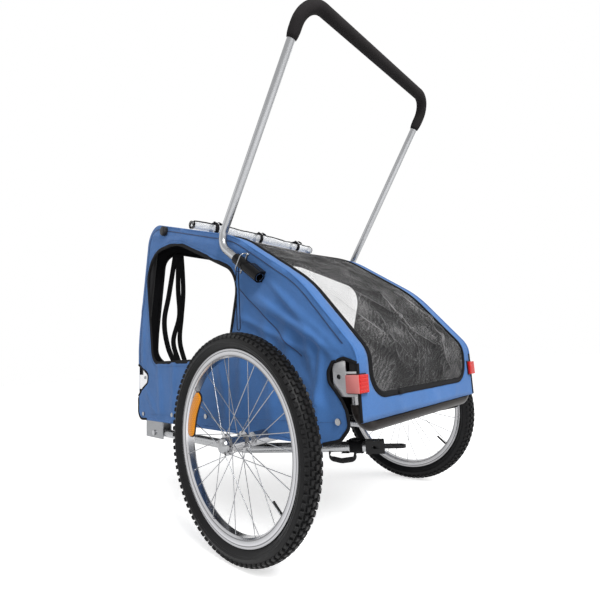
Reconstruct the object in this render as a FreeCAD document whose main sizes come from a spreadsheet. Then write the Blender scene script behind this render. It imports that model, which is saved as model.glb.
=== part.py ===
import FreeCAD, Part
import math
import os

# Dog bike trailer: two 20 inch wheels, a steel tube frame, a cloth cabin, a push handle and a stowed tow arm.
# Millimetres. +X runs to the rear, +Y to the trailer's right, +Z up. The floor is z = 0.

V = FreeCAD.Vector
doc = FreeCAD.newDocument("dog_bike_trailer")
sheet = doc.addObject("Spreadsheet::Sheet", "sizes")

SIZES = (
    # wheels
    ("wheel_od", 500.0),
    ("track_half", 367.0),
    ("axle_ahead", 289.0),
    ("tyre_width", 48.0),
    ("tyre_wall", 3.5),
    ("tread_height", 4.0),
    ("inner_tube_radius", 12.0),
    ("inner_tube_wall", 1.2),
    ("tyre_section", 47.0),
    ("rim_width", 27.0),
    ("rim_depth", 11.0),
    ("flange_height", 9.0),
    ("rim_wall", 2.0),
    ("spoke_radius", 0.95),
    ("spoke_count", 28.0),
    ("spoke_sweep", 52.0),
    ("spoke_hole_in", 4.0),
    ("spoke_seat", 0.5),
    ("hub_flange_radius", 23.0),
    ("hub_flange_gap", 46.0),
    ("hub_flange_wall", 3.0),
    ("hub_radius", 17.0),
    ("hub_length", 62.0),
    ("axle_radius", 6.0),
    ("bearing_radius", 14.0),
    ("bearing_width", 8.0),
    ("running_gap", 0.05),
    ("cap_length", 12.0),
    ("cap_wall", 2.0),
    ("valve_length", 34.0),
    ("valve_radius", 3.2),
    ("reflector_length", 92.0),
    ("reflector_width", 26.0),
    ("reflector_thick", 6.0),
    ("reflector_in", 45.0),
    # frame tubes
    ("tube_radius", 12.5),
    ("tube_wall", 1.5),
    ("rail_rise", 40.0),
    ("axle_tube_radius", 16.0),
    ("axle_stand", 18.0),
    ("axle_depth", 60.0),
    ("hinge_rise", 125.0),
    ("bracket_wall", 2.0),
    ("bracket_height", 50.0),
    ("bracket_flange", 34.0),
    ("bracket_flange_height", 72.0),
    ("crown_bar_along", 110.0),
    ("ridge_bar_along", 196.0),
    ("frame_bend", 45.0),
    ("bumper_wall", 3.0),
    ("bumper_length", 428.0),
    ("saddle_length", 70.0),
    ("saddle_wall", 5.0),
    # cabin cloth
    ("half_length", 496.0),
    ("side_half", 280.0),
    ("side_wall", 2.4),
    ("skin_wall", 2.0),
    ("front_hem_drop", 5.0),
    ("side_hem_rise", 34.0),
    ("rear_hem_rise", 62.0),
    ("front_knee_rise", 270.0),
    ("crown_back", 95.0),
    ("crown_rise", 695.0),
    ("crown_radius", 72.0),
    ("roof_lap", 20.0),
    ("ridge_ahead", 387.0),
    ("ridge_rise", 525.0),
    ("slope_ahead", 147.0),
    ("slope_rise", 362.0),
    ("rear_rise", 190.0),
    ("rear_radius", 60.0),
    ("knee_radius", 500.0),
    ("ridge_radius", 380.0),
    ("slope_radius", 380.0),
    ("window_front_back", 64.0),
    ("window_front_lean", 50.0),
    ("window_top", 64.0),
    ("window_low_rise", 188.0),
    ("window_rear_ahead", 377.0),
    ("window_rear_lean", 40.0),
    ("window_radius", 48.0),
    ("window_crown_radius", 120.0),
    ("binding_width", 7.0),
    ("binding_proud", 1.0),
    ("cutout_in", 24.0),
    ("cutout_width", 52.0),
    ("cutout_rise", 15.0),
    ("cutout_height", 70.0),
    ("floor_wall", 4.0),
    ("mat_thick", 12.0),
    ("edge_gap", 12.0),
    # front entry
    ("entry_half", 210.0),
    ("entry_low_rise", 180.0),
    ("entry_top_rise", 606.0),
    ("entry_corner", 62.0),
    # rear mesh door
    ("door_half", 240.0),
    ("door_gap", 1.0),
    ("door_wall", 1.6),
    ("door_start", 205.0),
    ("door_sill_rise", 90.0),
    ("door_corner", 58.0),
    ("zip_width", 12.0),
    # rolled rain cover
    ("roll_radius", 22.0),
    ("roll_core", 7.0),
    ("roll_half", 262.0),
    ("roll_along", 284.0),
    ("tie_width", 18.0),
    ("tie_wall", 1.5),
    ("tie_spread", 190.0),
    # push handle
    ("handle_radius", 11.0),
    ("handle_wall", 1.5),
    ("grip_wall", 5.0),
    ("grip_down", 95.0),
    ("sleeve_radius", 15.0),
    ("sleeve_stand", 3.0),
    ("sleeve_length", 112.0),
    ("sleeve_top_ahead", 353.0),
    ("sleeve_top_rise", 451.0),
    ("sleeve_angle", 36.7),
    ("handle_knee", 95.0),
    ("handle_bend", 42.0),
    ("handle_top_bend", 62.0),
    ("handle_angle", 53.8),
    ("handle_leg", 634.0),
    ("snap_pin_radius", 3.2),
    ("snap_pin_down", 36.0),
    ("snap_pin_length", 52.0),
    ("slot_gap", 0.4),
    # tow arm
    ("tow_drop", 45.0),
    ("tow_pivot_back", 108.0),
    ("tow_y", 258.0),
    ("tow_elbow_ahead", 397.0),
    ("tow_end_ahead", 137.0),
    ("tow_end_y", 82.0),
    ("tow_bend", 90.0),
    ("tow_pin_radius", 5.0),
    ("tow_bracket_wall", 3.0),
    ("tow_bracket_length", 120.0),
    ("tow_bracket_lip", 4.0),
    ("tow_pin_end", 4.0),
    ("tow_side_gap", 0.4),
    ("hitch_length", 46.0),
    ("hitch_side", 30.0),
    ("tongue_thick", 6.0),
    ("tongue_width", 28.0),
    ("tongue_reach", 52.0),
    ("tongue_hole", 5.0),
    ("tongue_pin_radius", 4.0),
    ("tongue_pivot_in", 14.0),
    ("tongue_root_gap", 2.0),
    ("tongue_play", 0.4),
    ("strap_wall", 1.6),
    ("strap_width", 32.0),
    ("strap_back", 40.0),
    # small pieces
    ("lamp_width", 26.0),
    ("lamp_wrap", 27.0),
    ("lamp_height", 40.0),
    ("lamp_back", 2.0),
    ("lamp_lens", 7.0),
    ("lens_inset", 2.0),
    ("lamp_rise", 126.0),
    ("knob_radius", 14.0),
    ("knob_length", 16.0),
    ("snap_radius", 7.0),
    ("snap_height", 3.0),
    ("snap_rise", 18.0),
    ("snap_front_in", 24.0),
    ("snap_rear_in", 40.0),
    ("bolt_radius", 5.0),
    ("bolt_height", 3.0),
    ("cord_radius", 1.1),
    ("cord_loop", 13.0),
    ("cord_drop", 172.0),
)
for row, (alias, number) in enumerate(SIZES, start=1):
    sheet.set("A%d" % row, alias)
    sheet.set("B%d" % row, "%g" % number)
    sheet.setAlias("B%d" % row, alias)
doc.recompute()


def size(alias):
    return float(sheet.get(alias))


def bind(obj, prop, text):
    # every word of the text that is a size becomes a reference to its cell; a plain number is set as it is
    if not isinstance(text, str):
        setattr(obj, prop, text)
        return
    words = []
    for word in text.split():
        words.append("sizes." + word if word in NAMES else word)
    obj.setExpression(prop, " ".join(words))


NAMES = {alias for alias, number in SIZES}
pieces = {}


def keep(label, obj):
    obj.Label = label
    pieces[label] = obj
    return obj


def place(obj, base, turn=None):
    obj.Placement = FreeCAD.Placement(V(*base), turn or FreeCAD.Rotation())
    return obj


def along(direction):
    return FreeCAD.Rotation(V(0, 0, 1), V(*direction))


def rod(name, radius, length, base, direction):
    cyl = doc.addObject("Part::Cylinder", name)
    bind(cyl, "Radius", radius)
    bind(cyl, "Height", length)
    return place(cyl, base, along(direction))


def block(name, sizes, base, turn=None):
    box = doc.addObject("Part::Box", name)
    for prop, text in zip(("Length", "Width", "Height"), sizes):
        bind(box, prop, text)
    return place(box, base, turn)


def cut(name, base, tool):
    obj = doc.addObject("Part::Cut", name)
    obj.Base = base
    obj.Tool = tool
    return obj


def join(name, objs):
    obj = doc.addObject("Part::MultiFuse", name)
    obj.Shapes = objs
    return obj


def both(name, a, b):
    obj = doc.addObject("Part::MultiCommon", name)
    obj.Shapes = [a, b]
    return obj


def group(name, objs):
    obj = doc.addObject("Part::Compound", name)
    obj.Links = objs
    return obj


def pipe(name, radius, inner, length, base, direction):
    # a straight tube with an open bore
    outside = rod(name + "_out", radius, length, base, direction)
    inside = rod(name + "_in", inner, length, base, direction)
    return cut(name, outside, inside)


def fillet_path(points, radii):
    # lines and arcs through points, each inner corner rounded with its own radius
    pts = [V(*p) for p in points]
    edges = []
    start = pts[0]
    for i in range(1, len(pts) - 1):
        a = (pts[i - 1] - pts[i]).normalize()
        b = (pts[i + 1] - pts[i]).normalize()
        half = a.getAngle(b) / 2.0
        reach = radii[i - 1] / math.tan(half)
        p = pts[i] + a * reach
        q = pts[i] + b * reach
        mid_dir = (a + b).normalize()
        mid = pts[i] + mid_dir * (radii[i - 1] / math.sin(half) - radii[i - 1])
        if (p - start).Length > 1e-6:
            edges.append(Part.LineSegment(start, p).toShape())
        edges.append(Part.Arc(p, mid, q).toShape())
        start = q
    if (pts[-1] - start).Length > 1e-6:
        edges.append(Part.LineSegment(start, pts[-1]).toShape())
    return edges


def shape_of(name, shape):
    obj = doc.addObject("Part::Feature", name)
    obj.Shape = shape
    return obj


def sweep_round(name, path, radius, start, direction):
    # a round bar along a path object
    circle = doc.addObject("Part::Circle", name + "_ring")
    bind(circle, "Radius", radius)
    place(circle, start, along(direction))
    obj = doc.addObject("Part::Sweep", name)
    obj.Sections = [circle]
    obj.Spine = (path, ["Edge%d" % (i + 1) for i in range(len(path.Shape.Edges))])
    obj.Solid = True
    obj.Frenet = False
    obj.Transition = "Right corner"
    return obj


def bent_pipe(name, points, radii, radius, inner):
    path = shape_of(name + "_path", Part.Wire(fillet_path(points, radii)))
    step = V(*points[1]) - V(*points[0])
    way = (step.x, step.y, step.z)
    outer = sweep_round(name + "_out", path, radius, points[0], way)
    if inner is None:
        return outer
    return cut(name, outer, sweep_round(name + "_in", path, inner, points[0], way))


def inset(points, step):
    # a flat open path in X and Z moved to its right-hand side by step, corners kept sharp
    out = []
    n = len(points)
    normals = []
    for i in range(n - 1):
        dx = points[i + 1][0] - points[i][0]
        dz = points[i + 1][1] - points[i][1]
        length = math.hypot(dx, dz)
        normals.append((dz / length, -dx / length))
    for i in range(n):
        if i == 0:
            nx, nz = normals[0]
            out.append((points[0][0] + nx * step, points[0][1] + nz * step))
        elif i == n - 1:
            nx, nz = normals[-1]
            out.append((points[-1][0] + nx * step, points[-1][1] + nz * step))
        else:
            (ax, az), (bx, bz) = normals[i - 1], normals[i]
            scale = step / (1.0 + ax * bx + az * bz)
            out.append((points[i][0] + (ax + bx) * scale, points[i][1] + (az + bz) * scale))
    return out


def at_y(points, y):
    return [(x, y, z) for x, z in points]


def closed_face(edges):
    return Part.Face(Part.Wire(Part.__sortEdges__(edges)))


def strip_face(points, radii, wall, y):
    # the band between a rounded path and its inset
    outer = fillet_path(at_y(points, y), radii)
    inner_points = inset(points, wall)
    inner = fillet_path(at_y(inner_points, y), [r - wall for r in radii])
    caps = [
        Part.LineSegment(
            V(points[0][0], y, points[0][1]),
            V(inner_points[0][0], y, inner_points[0][1]),
        ).toShape(),
        Part.LineSegment(
            V(points[-1][0], y, points[-1][1]),
            V(inner_points[-1][0], y, inner_points[-1][1]),
        ).toShape(),
    ]
    return closed_face(outer + inner + caps)


def extrude(name, face, length):
    base = shape_of(name + "_face", face)
    obj = doc.addObject("Part::Extrusion", name)
    obj.Base = base
    obj.DirMode = "Custom"
    obj.Dir = V(0, 1, 0)
    obj.Solid = True
    bind(obj, "LengthFwd", length)
    return obj


def turned(name, profile, base, sign=1):
    # a ring turned about the Y axis; the profile holds radius and y pairs
    pts = [V(radius, sign * y, 0) for radius, y in profile]
    face = shape_of(name + "_face", Part.Face(Part.makePolygon(pts + [pts[0]])))
    obj = doc.addObject("Part::Revolution", name)
    obj.Source = face
    obj.Axis = V(0, 1, 0)
    obj.Base = V(0, 0, 0)
    obj.Angle = 360
    obj.Solid = False
    return place(obj, base)


def point_on(a, b, distance):
    length = math.hypot(b[0] - a[0], b[1] - a[1])
    return (a[0] + (b[0] - a[0]) * distance / length, a[1] + (b[1] - a[1]) * distance / length)


# The cabin's side outline, from the front hem over the crown and the ridge to the rear hem
HALF = size("half_length")
REAR = HALF - size("lamp_back") - size("lamp_lens")
AXLE_Z = size("wheel_od") / 2.0


def above(alias):
    # a height that is measured from the axle, so the cabin rides on its wheels
    return AXLE_Z + size(alias)


def ahead(alias):
    # a place that is measured from the rear face towards the front
    return REAR - size(alias)


P_FRONT = (-HALF, AXLE_Z - size("front_hem_drop"))
P_KNEE = (-HALF, above("front_knee_rise"))
P_CROWN = (-HALF + size("crown_back"), above("crown_rise"))
P_RIDGE = (ahead("ridge_ahead"), above("ridge_rise"))
P_SLOPE = (ahead("slope_ahead"), above("slope_rise"))
P_REAR = (REAR, above("rear_rise"))
P_HEM = (REAR, above("side_hem_rise"))
P_REAR_HEM = (REAR, above("rear_hem_rise"))
SILL_Z = above("door_sill_rise")
P_SILL = (REAR, SILL_Z)
OUTLINE = [P_FRONT, P_KNEE, P_CROWN, P_RIDGE, P_SLOPE, P_REAR, P_HEM]
ROUNDS = [size(r) for r in ("knee_radius", "crown_radius", "ridge_radius", "slope_radius", "rear_radius")]
SIDE = size("side_half")
TUBE = size("tube_radius")
BRACKET = TUBE + size("bracket_wall")
FRAME_Y = SIDE - size("side_wall") - BRACKET
TUBE_INSET = size("skin_wall") + BRACKET
LINE = inset(OUTLINE, TUBE_INSET)
LINE_ROUNDS = [r - TUBE_INSET for r in ROUNDS]
FRONT_X = LINE[0][0]
REAR_X = LINE[-1][0]
RAIL_Z = above("rail_rise")
HINGE_Z = above("hinge_rise")
AXLE_X = ahead("axle_ahead")
SIDES = (("left", -1), ("right", 1))

# Base frame
FRAME_BEND = size("frame_bend")
for end, x in (("front", FRONT_X), ("rear", REAR_X)):
    corners = [
        (x, -FRAME_Y, HINGE_Z),
        (x, -FRAME_Y, RAIL_Z),
        (x, FRAME_Y, RAIL_Z),
        (x, FRAME_Y, HINGE_Z),
    ]
    name = end + "_frame"
    keep(name, bent_pipe(name, corners, [FRAME_BEND, FRAME_BEND], "tube_radius", "tube_radius - tube_wall"))

RAIL_Y = FRAME_Y - FRAME_BEND - TUBE
RAIL_LENGTH = REAR_X - FRONT_X - TUBE
rails = []
for side, s in SIDES:
    name = side + "_rail"
    base = (FRONT_X + TUBE / 2, s * RAIL_Y, RAIL_Z)
    rail = pipe(name, "tube_radius", "tube_radius - tube_wall", RAIL_LENGTH, base, (1, 0, 0))
    ends = []
    for end, x in (("front", FRONT_X), ("rear", REAR_X)):
        cope_base = (x, s * RAIL_Y - 3 * TUBE, RAIL_Z)
        ends.append(rod(name + "_cope_" + end, "tube_radius", 6 * TUBE, cope_base, (0, 1, 0)))
    # the rail's ends are coped to the round cross tubes that they are welded to
    rails.append(cut(name + "_coped", rail, join(name + "_copes", ends)))
keep("side_rails", group("side_rails", rails))

# the axle tube stops short of the hubs
AXLE_HALF = size("track_half") - size("hub_length") / 2 - size("axle_stand")
base = (AXLE_X, -AXLE_HALF, AXLE_Z)
axle_pipe = pipe("axle_pipe", "axle_tube_radius", "axle_radius + running_gap", 2 * AXLE_HALF, base, (0, 1, 0))
# only the ends are bushed for the axles; the middle is a plain thin tube
middle = AXLE_HALF - size("axle_depth")
hollow = rod("axle_hollow", "axle_tube_radius - tube_wall", 2 * middle, (AXLE_X, -middle, AXLE_Z), (0, 1, 0))
keep("axle_tube", cut("axle_tube", axle_pipe, hollow))

SADDLE = size("saddle_length")
SADDLE_TOP = RAIL_Z
saddle_parts = []
for side, s in SIDES:
    width = 2 * TUBE
    base = (AXLE_X - SADDLE / 2, s * RAIL_Y - width / 2, AXLE_Z)
    solid = block(side + "_saddle", ("saddle_length", width, RAIL_Z - AXLE_Z), base)
    low_base = (AXLE_X, s * RAIL_Y - width, AXLE_Z)
    low = rod(side + "_saddle_low", "axle_tube_radius", 2 * width, low_base, (0, 1, 0))
    high_base = (AXLE_X - SADDLE, s * RAIL_Y, RAIL_Z)
    high = rod(side + "_saddle_high", "tube_radius", 2 * SADDLE, high_base, (1, 0, 0))
    saddle_parts.append(cut(side + "_saddle_cut", solid, join(side + "_saddle_tools", [low, high])))
keep("axle_saddles", group("axle_saddles", saddle_parts))

base = (REAR_X, -size("bumper_length") / 2, RAIL_Z)
bumper_radius = "tube_radius + bumper_wall"
bumper_bore = "tube_radius + running_gap"
keep("bumper_sleeve", pipe("bumper_sleeve", bumper_radius, bumper_bore, "bumper_length", base, (0, 1, 0)))
# the sleeve is notched where the rails meet the rear tube
notches = []
for side, s in SIDES:
    notch_base = (REAR_X - 4 * TUBE, s * RAIL_Y, RAIL_Z)
    notches.append(rod(side + "_notch", "tube_radius + running_gap", 4 * TUBE, notch_base, (1, 0, 0)))
keep("bumper_sleeve", cut("bumper_sleeve_cut", pieces["bumper_sleeve"], join("bumper_notches", notches)))

# Side hoops, corner brackets and cross bars
HOOP = list(LINE)
HOOP[0] = (LINE[0][0], HINGE_Z)
HOOP[-1] = (LINE[-1][0], HINGE_Z)
brackets = []
for side, s in SIDES:
    y = s * FRAME_Y
    name = side + "_hoop"
    keep(name, bent_pipe(name, at_y(HOOP, y), LINE_ROUNDS, "tube_radius", "tube_radius - tube_wall"))
    for end, x in (("front", FRONT_X), ("rear", REAR_X)):
        name = side + "_" + end + "_bracket"
        base = (x - BRACKET, y - BRACKET, HINGE_Z - size("bracket_height") / 2)
        solid = block(name + "_block", (2 * BRACKET, 2 * BRACKET, "bracket_height"), base)
        reach = 2 * size("bracket_height")
        bore = rod(name + "_bore", "tube_radius + running_gap", reach, (x, y, HINGE_Z - reach / 2), (0, 0, 1))
        # a pressed flange runs from the bracket towards the middle of the side, flush with its outer face
        flange_x = x + BRACKET if x < 0 else x - BRACKET - size("bracket_flange")
        flange_y = y - BRACKET if s < 0 else y + BRACKET - size("bracket_wall")
        flange_base = (flange_x, flange_y, base[2])
        flange_size = ("bracket_flange", "bracket_wall", "bracket_flange_height")
        flange = block(name + "_flange", flange_size, flange_base)
        brackets.append(cut(name, join(name + "_pressed", [solid, flange]), bore))
keep("corner_brackets", group("corner_brackets", brackets))

bars = []
CROWN_BAR = point_on(LINE[2], LINE[3], size("crown_bar_along"))
RIDGE_BAR = point_on(LINE[3], LINE[2], size("ridge_bar_along"))
for name, (x, z) in (("crown_bar", CROWN_BAR), ("ridge_bar", RIDGE_BAR)):
    # the bar's ends are coped to the hoops
    bar = pipe(name, "tube_radius", "tube_radius - tube_wall", 2 * FRAME_Y, (x, -FRAME_Y, z), (0, 1, 0))
    way = (LINE[3][0] - LINE[2][0], 0, LINE[3][1] - LINE[2][1])
    length = math.hypot(way[0], way[2])
    tools = []
    for side, s in SIDES:
        start = (x - way[0] / length * 3 * TUBE, s * FRAME_Y, z - way[2] / length * 3 * TUBE)
        tools.append(rod(name + "_cope_" + side, "tube_radius", 6 * TUBE, start, way))
    bars.append(cut(name + "_coped", bar, join(name + "_copes", tools)))
keep("cross_bars", group("cross_bars", bars))

# Cabin cloth: two side panels with bound windows, front, roof, rear and the borders of the rear door
WINDOW_TOP = size("window_top")
W_LINE = inset(OUTLINE, WINDOW_TOP)
W_FRONT = -HALF + size("window_front_back")
W_LEAN = size("window_front_lean")
W_LOW = above("window_low_rise")
W_REAR = ahead("window_rear_ahead")


def line_cross(a, b, c, d):
    # where the straight lines a-b and c-d meet
    ux, uz = b[0] - a[0], b[1] - a[1]
    wx, wz = d[0] - c[0], d[1] - c[1]
    k = ((c[0] - a[0]) * wz - (c[1] - a[1]) * wx) / (ux * wz - uz * wx)
    return (a[0] + ux * k, a[1] + uz * k)


def window_points(step):
    # corners of the window opening, grown by step on every side
    roof_a, roof_b = inset([W_LINE[2], W_LINE[3]], -step)
    rear_a, rear_b = inset([W_LINE[3], W_LINE[4]], -step)
    low = W_LOW - step
    rear = W_REAR + step
    front_a, front_b = inset([(W_FRONT + W_LEAN, W_LOW), (W_FRONT, P_RIDGE[1])], -step)
    top_front = line_cross(front_a, front_b, roof_a, roof_b)
    top_rear = line_cross(roof_a, roof_b, rear_a, rear_b)
    rear_top = line_cross(rear_a, rear_b, (rear, low), (rear, P_RIDGE[1]))
    front_low = line_cross(front_a, front_b, (W_FRONT, low), (W_REAR, low))
    rear_low = (rear - size("window_rear_lean"), low)
    return [front_low, top_front, top_rear, rear_top, rear_low]


def window_loop(step, y):
    # the window's closed outline, grown by step; the front top corner is the roundest
    points = window_points(step)
    mid = ((points[-1][0] + points[0][0]) / 2, (points[-1][1] + points[0][1]) / 2)
    path = [mid] + points + [mid]
    radius = size("window_radius") + step
    crown = size("window_crown_radius") + step
    return Part.Wire(fillet_path(at_y(path, y), [radius, crown, radius, radius, radius]))


def side_outline_face(y):
    edges = fillet_path(at_y(OUTLINE, y), ROUNDS)
    edges.append(Part.LineSegment(V(P_HEM[0], y, P_HEM[1]), V(P_FRONT[0], y, P_FRONT[1])).toShape())
    return closed_face(edges)


BIND = size("binding_width")
PROUD = size("binding_proud")
bindings = []
for side, s in SIDES:
    name = side + "_panel"
    low_y = -SIDE if s < 0 else SIDE - size("side_wall")
    panel = extrude(name, side_outline_face(low_y), "side_wall")
    reach = 10 * size("side_wall")
    hole_y = s * SIDE - reach / 2
    window = extrude(name + "_window", Part.Face(window_loop(BIND, hole_y)), reach)
    tools = [window]
    for end, x in (("front", FRONT_X), ("rear", REAR_X)):
        near_x = -HALF + size("cutout_in") if x < 0 else REAR - size("cutout_in") - size("cutout_width")
        base = (near_x, hole_y, HINGE_Z + size("cutout_rise") - size("cutout_height") / 2)
        tools.append(block(name + "_" + end + "_cutout", ("cutout_width", reach, "cutout_height"), base))
    keep(name, cut(name + "_cut", panel, join(name + "_tools", tools)))
    # the black binding round the window stands a little proud of the cloth on both faces
    name = side + "_window_binding"
    wall = size("side_wall") + 2 * PROUD
    low_y = s * (SIDE - size("side_wall") / 2) - wall / 2
    ring = extrude(name, Part.Face(window_loop(BIND, low_y)), wall)
    gap = extrude(name + "_gap", Part.Face(window_loop(0.0, low_y)), wall)
    bindings.append(cut(name + "_ring", ring, gap))
keep("window_bindings", group("window_bindings", bindings))

SKIN_Y = -SIDE + size("side_wall")
SKIN_WIDTH = 2 * (SIDE - size("side_wall"))
ROOF_START = point_on(P_CROWN, P_RIDGE, size("crown_radius") + size("roof_lap"))
DOOR_TOP = point_on(P_RIDGE, P_CROWN, size("door_start"))
SKIN = size("skin_wall")
GAP = size("door_gap")
front_line = [P_FRONT, P_KNEE, P_CROWN, ROOF_START]
front_skin = extrude("front_skin", strip_face(front_line, ROUNDS[:2], SKIN, SKIN_Y), SKIN_WIDTH)
# the front entry is a wide opening with round corners; its cover is the roll on the roof
ENTRY = size("entry_half")
ENTRY_ROUND = size("entry_corner")
entry_low = above("entry_low_rise")
entry_tall = above("entry_top_rise") - entry_low
entry_x = -HALF - SKIN
entry_deep = size("crown_back") + 2 * SKIN
entry_tools = [
    block(
        "entry_tall",
        (entry_deep, 2 * (ENTRY - ENTRY_ROUND), entry_tall),
        (entry_x, -ENTRY + ENTRY_ROUND, entry_low),
    ),
    block(
        "entry_wide",
        (entry_deep, 2 * ENTRY, entry_tall - 2 * ENTRY_ROUND),
        (entry_x, -ENTRY, entry_low + ENTRY_ROUND),
    ),
]
for side, s in SIDES:
    for end, z in (("low", entry_low + ENTRY_ROUND), ("top", entry_low + entry_tall - ENTRY_ROUND)):
        at = (entry_x, s * (ENTRY - ENTRY_ROUND), z)
        entry_tools.append(rod("entry_%s_%s" % (side, end), "entry_corner", entry_deep, at, (1, 0, 0)))
keep("front_panel", cut("front_panel", front_skin, join("entry_opening", entry_tools)))
keep("roof_panel", extrude("roof_panel", strip_face([ROOF_START, DOOR_TOP], [], SKIN, SKIN_Y), SKIN_WIDTH))
keep("rear_panel", extrude("rear_panel", strip_face([P_SILL, P_REAR_HEM], [], SKIN, SKIN_Y), SKIN_WIDTH))
CORNER = size("door_corner")
DOOR_HALF = size("door_half")
ZIP = size("zip_width")


def door_gate(name, half, low, radius):
    # a thick slab along X with the door's outline: straight sides, and round corners at its foot
    x = DOOR_TOP[0] - CORNER
    deep = REAR - x + CORNER
    tall = P_CROWN[1] - low
    slab = block(name + "_slab", (deep, 2 * half, tall - radius), (x, -half, low + radius))
    foot = block(name + "_foot", (deep, 2 * (half - radius), radius), (x, -half + radius, low))
    rounds = []
    for side, s in SIDES:
        rounds.append(rod(name + "_" + side, radius, deep, (x, s * (half - radius), low + radius), (1, 0, 0)))
    return join(name, [slab, foot] + rounds)


BORDER = SIDE - size("side_wall") - DOOR_HALF - GAP + CORNER
borders = []
for side, s in SIDES:
    name = side + "_border"
    low_y = SKIN_Y if s < 0 else -SKIN_Y - BORDER
    border_face = strip_face([DOOR_TOP, P_RIDGE, P_SLOPE, P_REAR, P_SILL], ROUNDS[2:], SKIN, low_y)
    wide = extrude(name + "_wide", border_face, BORDER)
    borders.append(cut(name, wide, door_gate(name + "_gate", DOOR_HALF + GAP, SILL_Z, CORNER + GAP)))
keep("door_borders", group("door_borders", borders))

# Rear door: a net with a zip band round it, hung from the roof behind the roll
HINGE = point_on(P_RIDGE, P_CROWN, size("door_start") - GAP)
DOOR_END = (REAR, SILL_Z + GAP)
NET_TOP = point_on(P_RIDGE, P_CROWN, size("door_start") - GAP - ZIP)
NET_LOW = (REAR, SILL_Z + GAP + ZIP)
NET_Y = -DOOR_HALF + ZIP
NET_WIDTH = "2 * ( door_half - zip_width )"
net_line = [NET_TOP, P_RIDGE, P_SLOPE, P_REAR, NET_LOW]
net = extrude("net_full", strip_face(net_line, ROUNDS[2:], size("door_wall"), NET_Y), NET_WIDTH)
net_gate = door_gate("net_gate", DOOR_HALF - ZIP, NET_LOW[1], CORNER - ZIP)
keep("door_net", both("door_net", net, net_gate))
door_line = [HINGE, P_RIDGE, P_SLOPE, P_REAR, DOOR_END]
full = extrude("zip_full", strip_face(door_line, ROUNDS[2:], SKIN, -DOOR_HALF), "2 * door_half")
rounded = both("zip_round", full, door_gate("zip_gate", DOOR_HALF, DOOR_END[1], CORNER))
core = extrude("zip_core", strip_face(net_line, ROUNDS[2:], SKIN, NET_Y), NET_WIDTH)
opening = both("zip_opening", core, door_gate("core_gate", DOOR_HALF - ZIP, NET_LOW[1], CORNER - ZIP))
keep("door_zip", cut("door_zip", rounded, opening))

# Floor and mat
EDGE = size("edge_gap")
FLOOR_Z = RAIL_Z + TUBE
FLOOR_LOW_X = FRONT_X + TUBE + EDGE
FLOOR_LENGTH = REAR_X - FRONT_X - 2 * TUBE - 2 * EDGE
FLOOR_HALF = FRAME_Y - TUBE - EDGE
floor_size = (FLOOR_LENGTH, 2 * FLOOR_HALF, "floor_wall")
keep("floor_board", block("floor_board", floor_size, (FLOOR_LOW_X, -FLOOR_HALF, FLOOR_Z)))
base = (FLOOR_LOW_X + EDGE, -FLOOR_HALF + EDGE, FLOOR_Z + size("floor_wall"))
keep("floor_mat", block("floor_mat", (FLOOR_LENGTH - 2 * EDGE, 2 * (FLOOR_HALF - EDGE), "mat_thick"), base))

# Rolled rain cover on the roof, held by three ties
roof_dx = P_RIDGE[0] - P_CROWN[0]
roof_dz = P_RIDGE[1] - P_CROWN[1]
roof_length = math.hypot(roof_dx, roof_dz)
lift = size("roll_radius") + size("tie_wall")
spot = point_on(P_CROWN, P_RIDGE, size("roll_along"))
ROLL = (spot[0] - roof_dz / roof_length * lift, spot[1] + roof_dx / roof_length * lift)
base = (ROLL[0], -size("roll_half"), ROLL[1])
keep("rain_roll", pipe("rain_roll", "roll_radius", "roll_core", "2 * roll_half", base, (0, 1, 0)))
bands = []
for n in (-1, 0, 1):
    base = (ROLL[0], n * size("tie_spread") - size("tie_width") / 2, ROLL[1])
    tie = "tie_%d" % (n + 2)
    bands.append(pipe(tie, "roll_radius + tie_wall", "roll_radius", "tie_width", base, (0, 1, 0)))
keep("roll_ties", group("roll_ties", bands))

# Wheels
BEAD = AXLE_Z - size("tyre_section")
RIM_OUT = BEAD + size("flange_height")
RIM_IN = BEAD - size("rim_depth")
RIM_W = size("rim_width") / 2
RIM_T = size("rim_wall")
REFLECTOR = BEAD - size("reflector_in")
TYRE_W = size("tyre_width") / 2
TYRE_T = size("tyre_wall")
TYRE_R = AXLE_Z
TREAD = size("tread_height")
FLANGE_Y = size("hub_flange_gap") / 2
HUB_HALF = size("hub_length") / 2
HUB_R = size("hub_radius")
FLANGE_R = size("hub_flange_radius")
FLANGE_T = size("hub_flange_wall")
BEARING_R = size("bearing_radius")
BEARING_W = size("bearing_width")
AXLE_R = size("axle_radius")
SPOKE_R = size("spoke_radius")
RUN = size("running_gap")
CAP = size("cap_length")


def spoke_ends(k, flange, lead, s):
    # hub and rim points of one spoke; spokes that lean opposite ways run on opposite faces of their flange
    per_side = int(size("spoke_count")) // 4
    step = 2 * math.pi / per_side
    hub_angle = k * step + (0.25 * step if flange > 0 else 0.0) + (0.5 * step if lead > 0 else 0.0)
    rim_angle = hub_angle + lead * math.radians(size("spoke_sweep"))
    face = FLANGE_T / 2 + SPOKE_R + size("spoke_seat")
    hub_y = s * flange * (FLANGE_Y + lead * face)
    rim_y = s * flange * (RIM_W - RIM_T - 3.5 + lead * 2.6)
    hub_r = FLANGE_R - size("spoke_hole_in")
    a = V(hub_r * math.cos(hub_angle), hub_y, hub_r * math.sin(hub_angle))
    b = V(RIM_IN * math.cos(rim_angle), rim_y, RIM_IN * math.sin(rim_angle))
    return a, b


def spoke_y(a, b, radius):
    # how far out a spoke lies where it crosses a circle of this radius round the axle
    step = b - a
    square = step.x ** 2 + step.z ** 2
    half = a.x * step.x + a.z * step.z
    rest = a.x ** 2 + a.z ** 2 - radius ** 2
    share = (-half + math.sqrt(half ** 2 - square * rest)) / square
    return a.y + step.y * share


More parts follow.
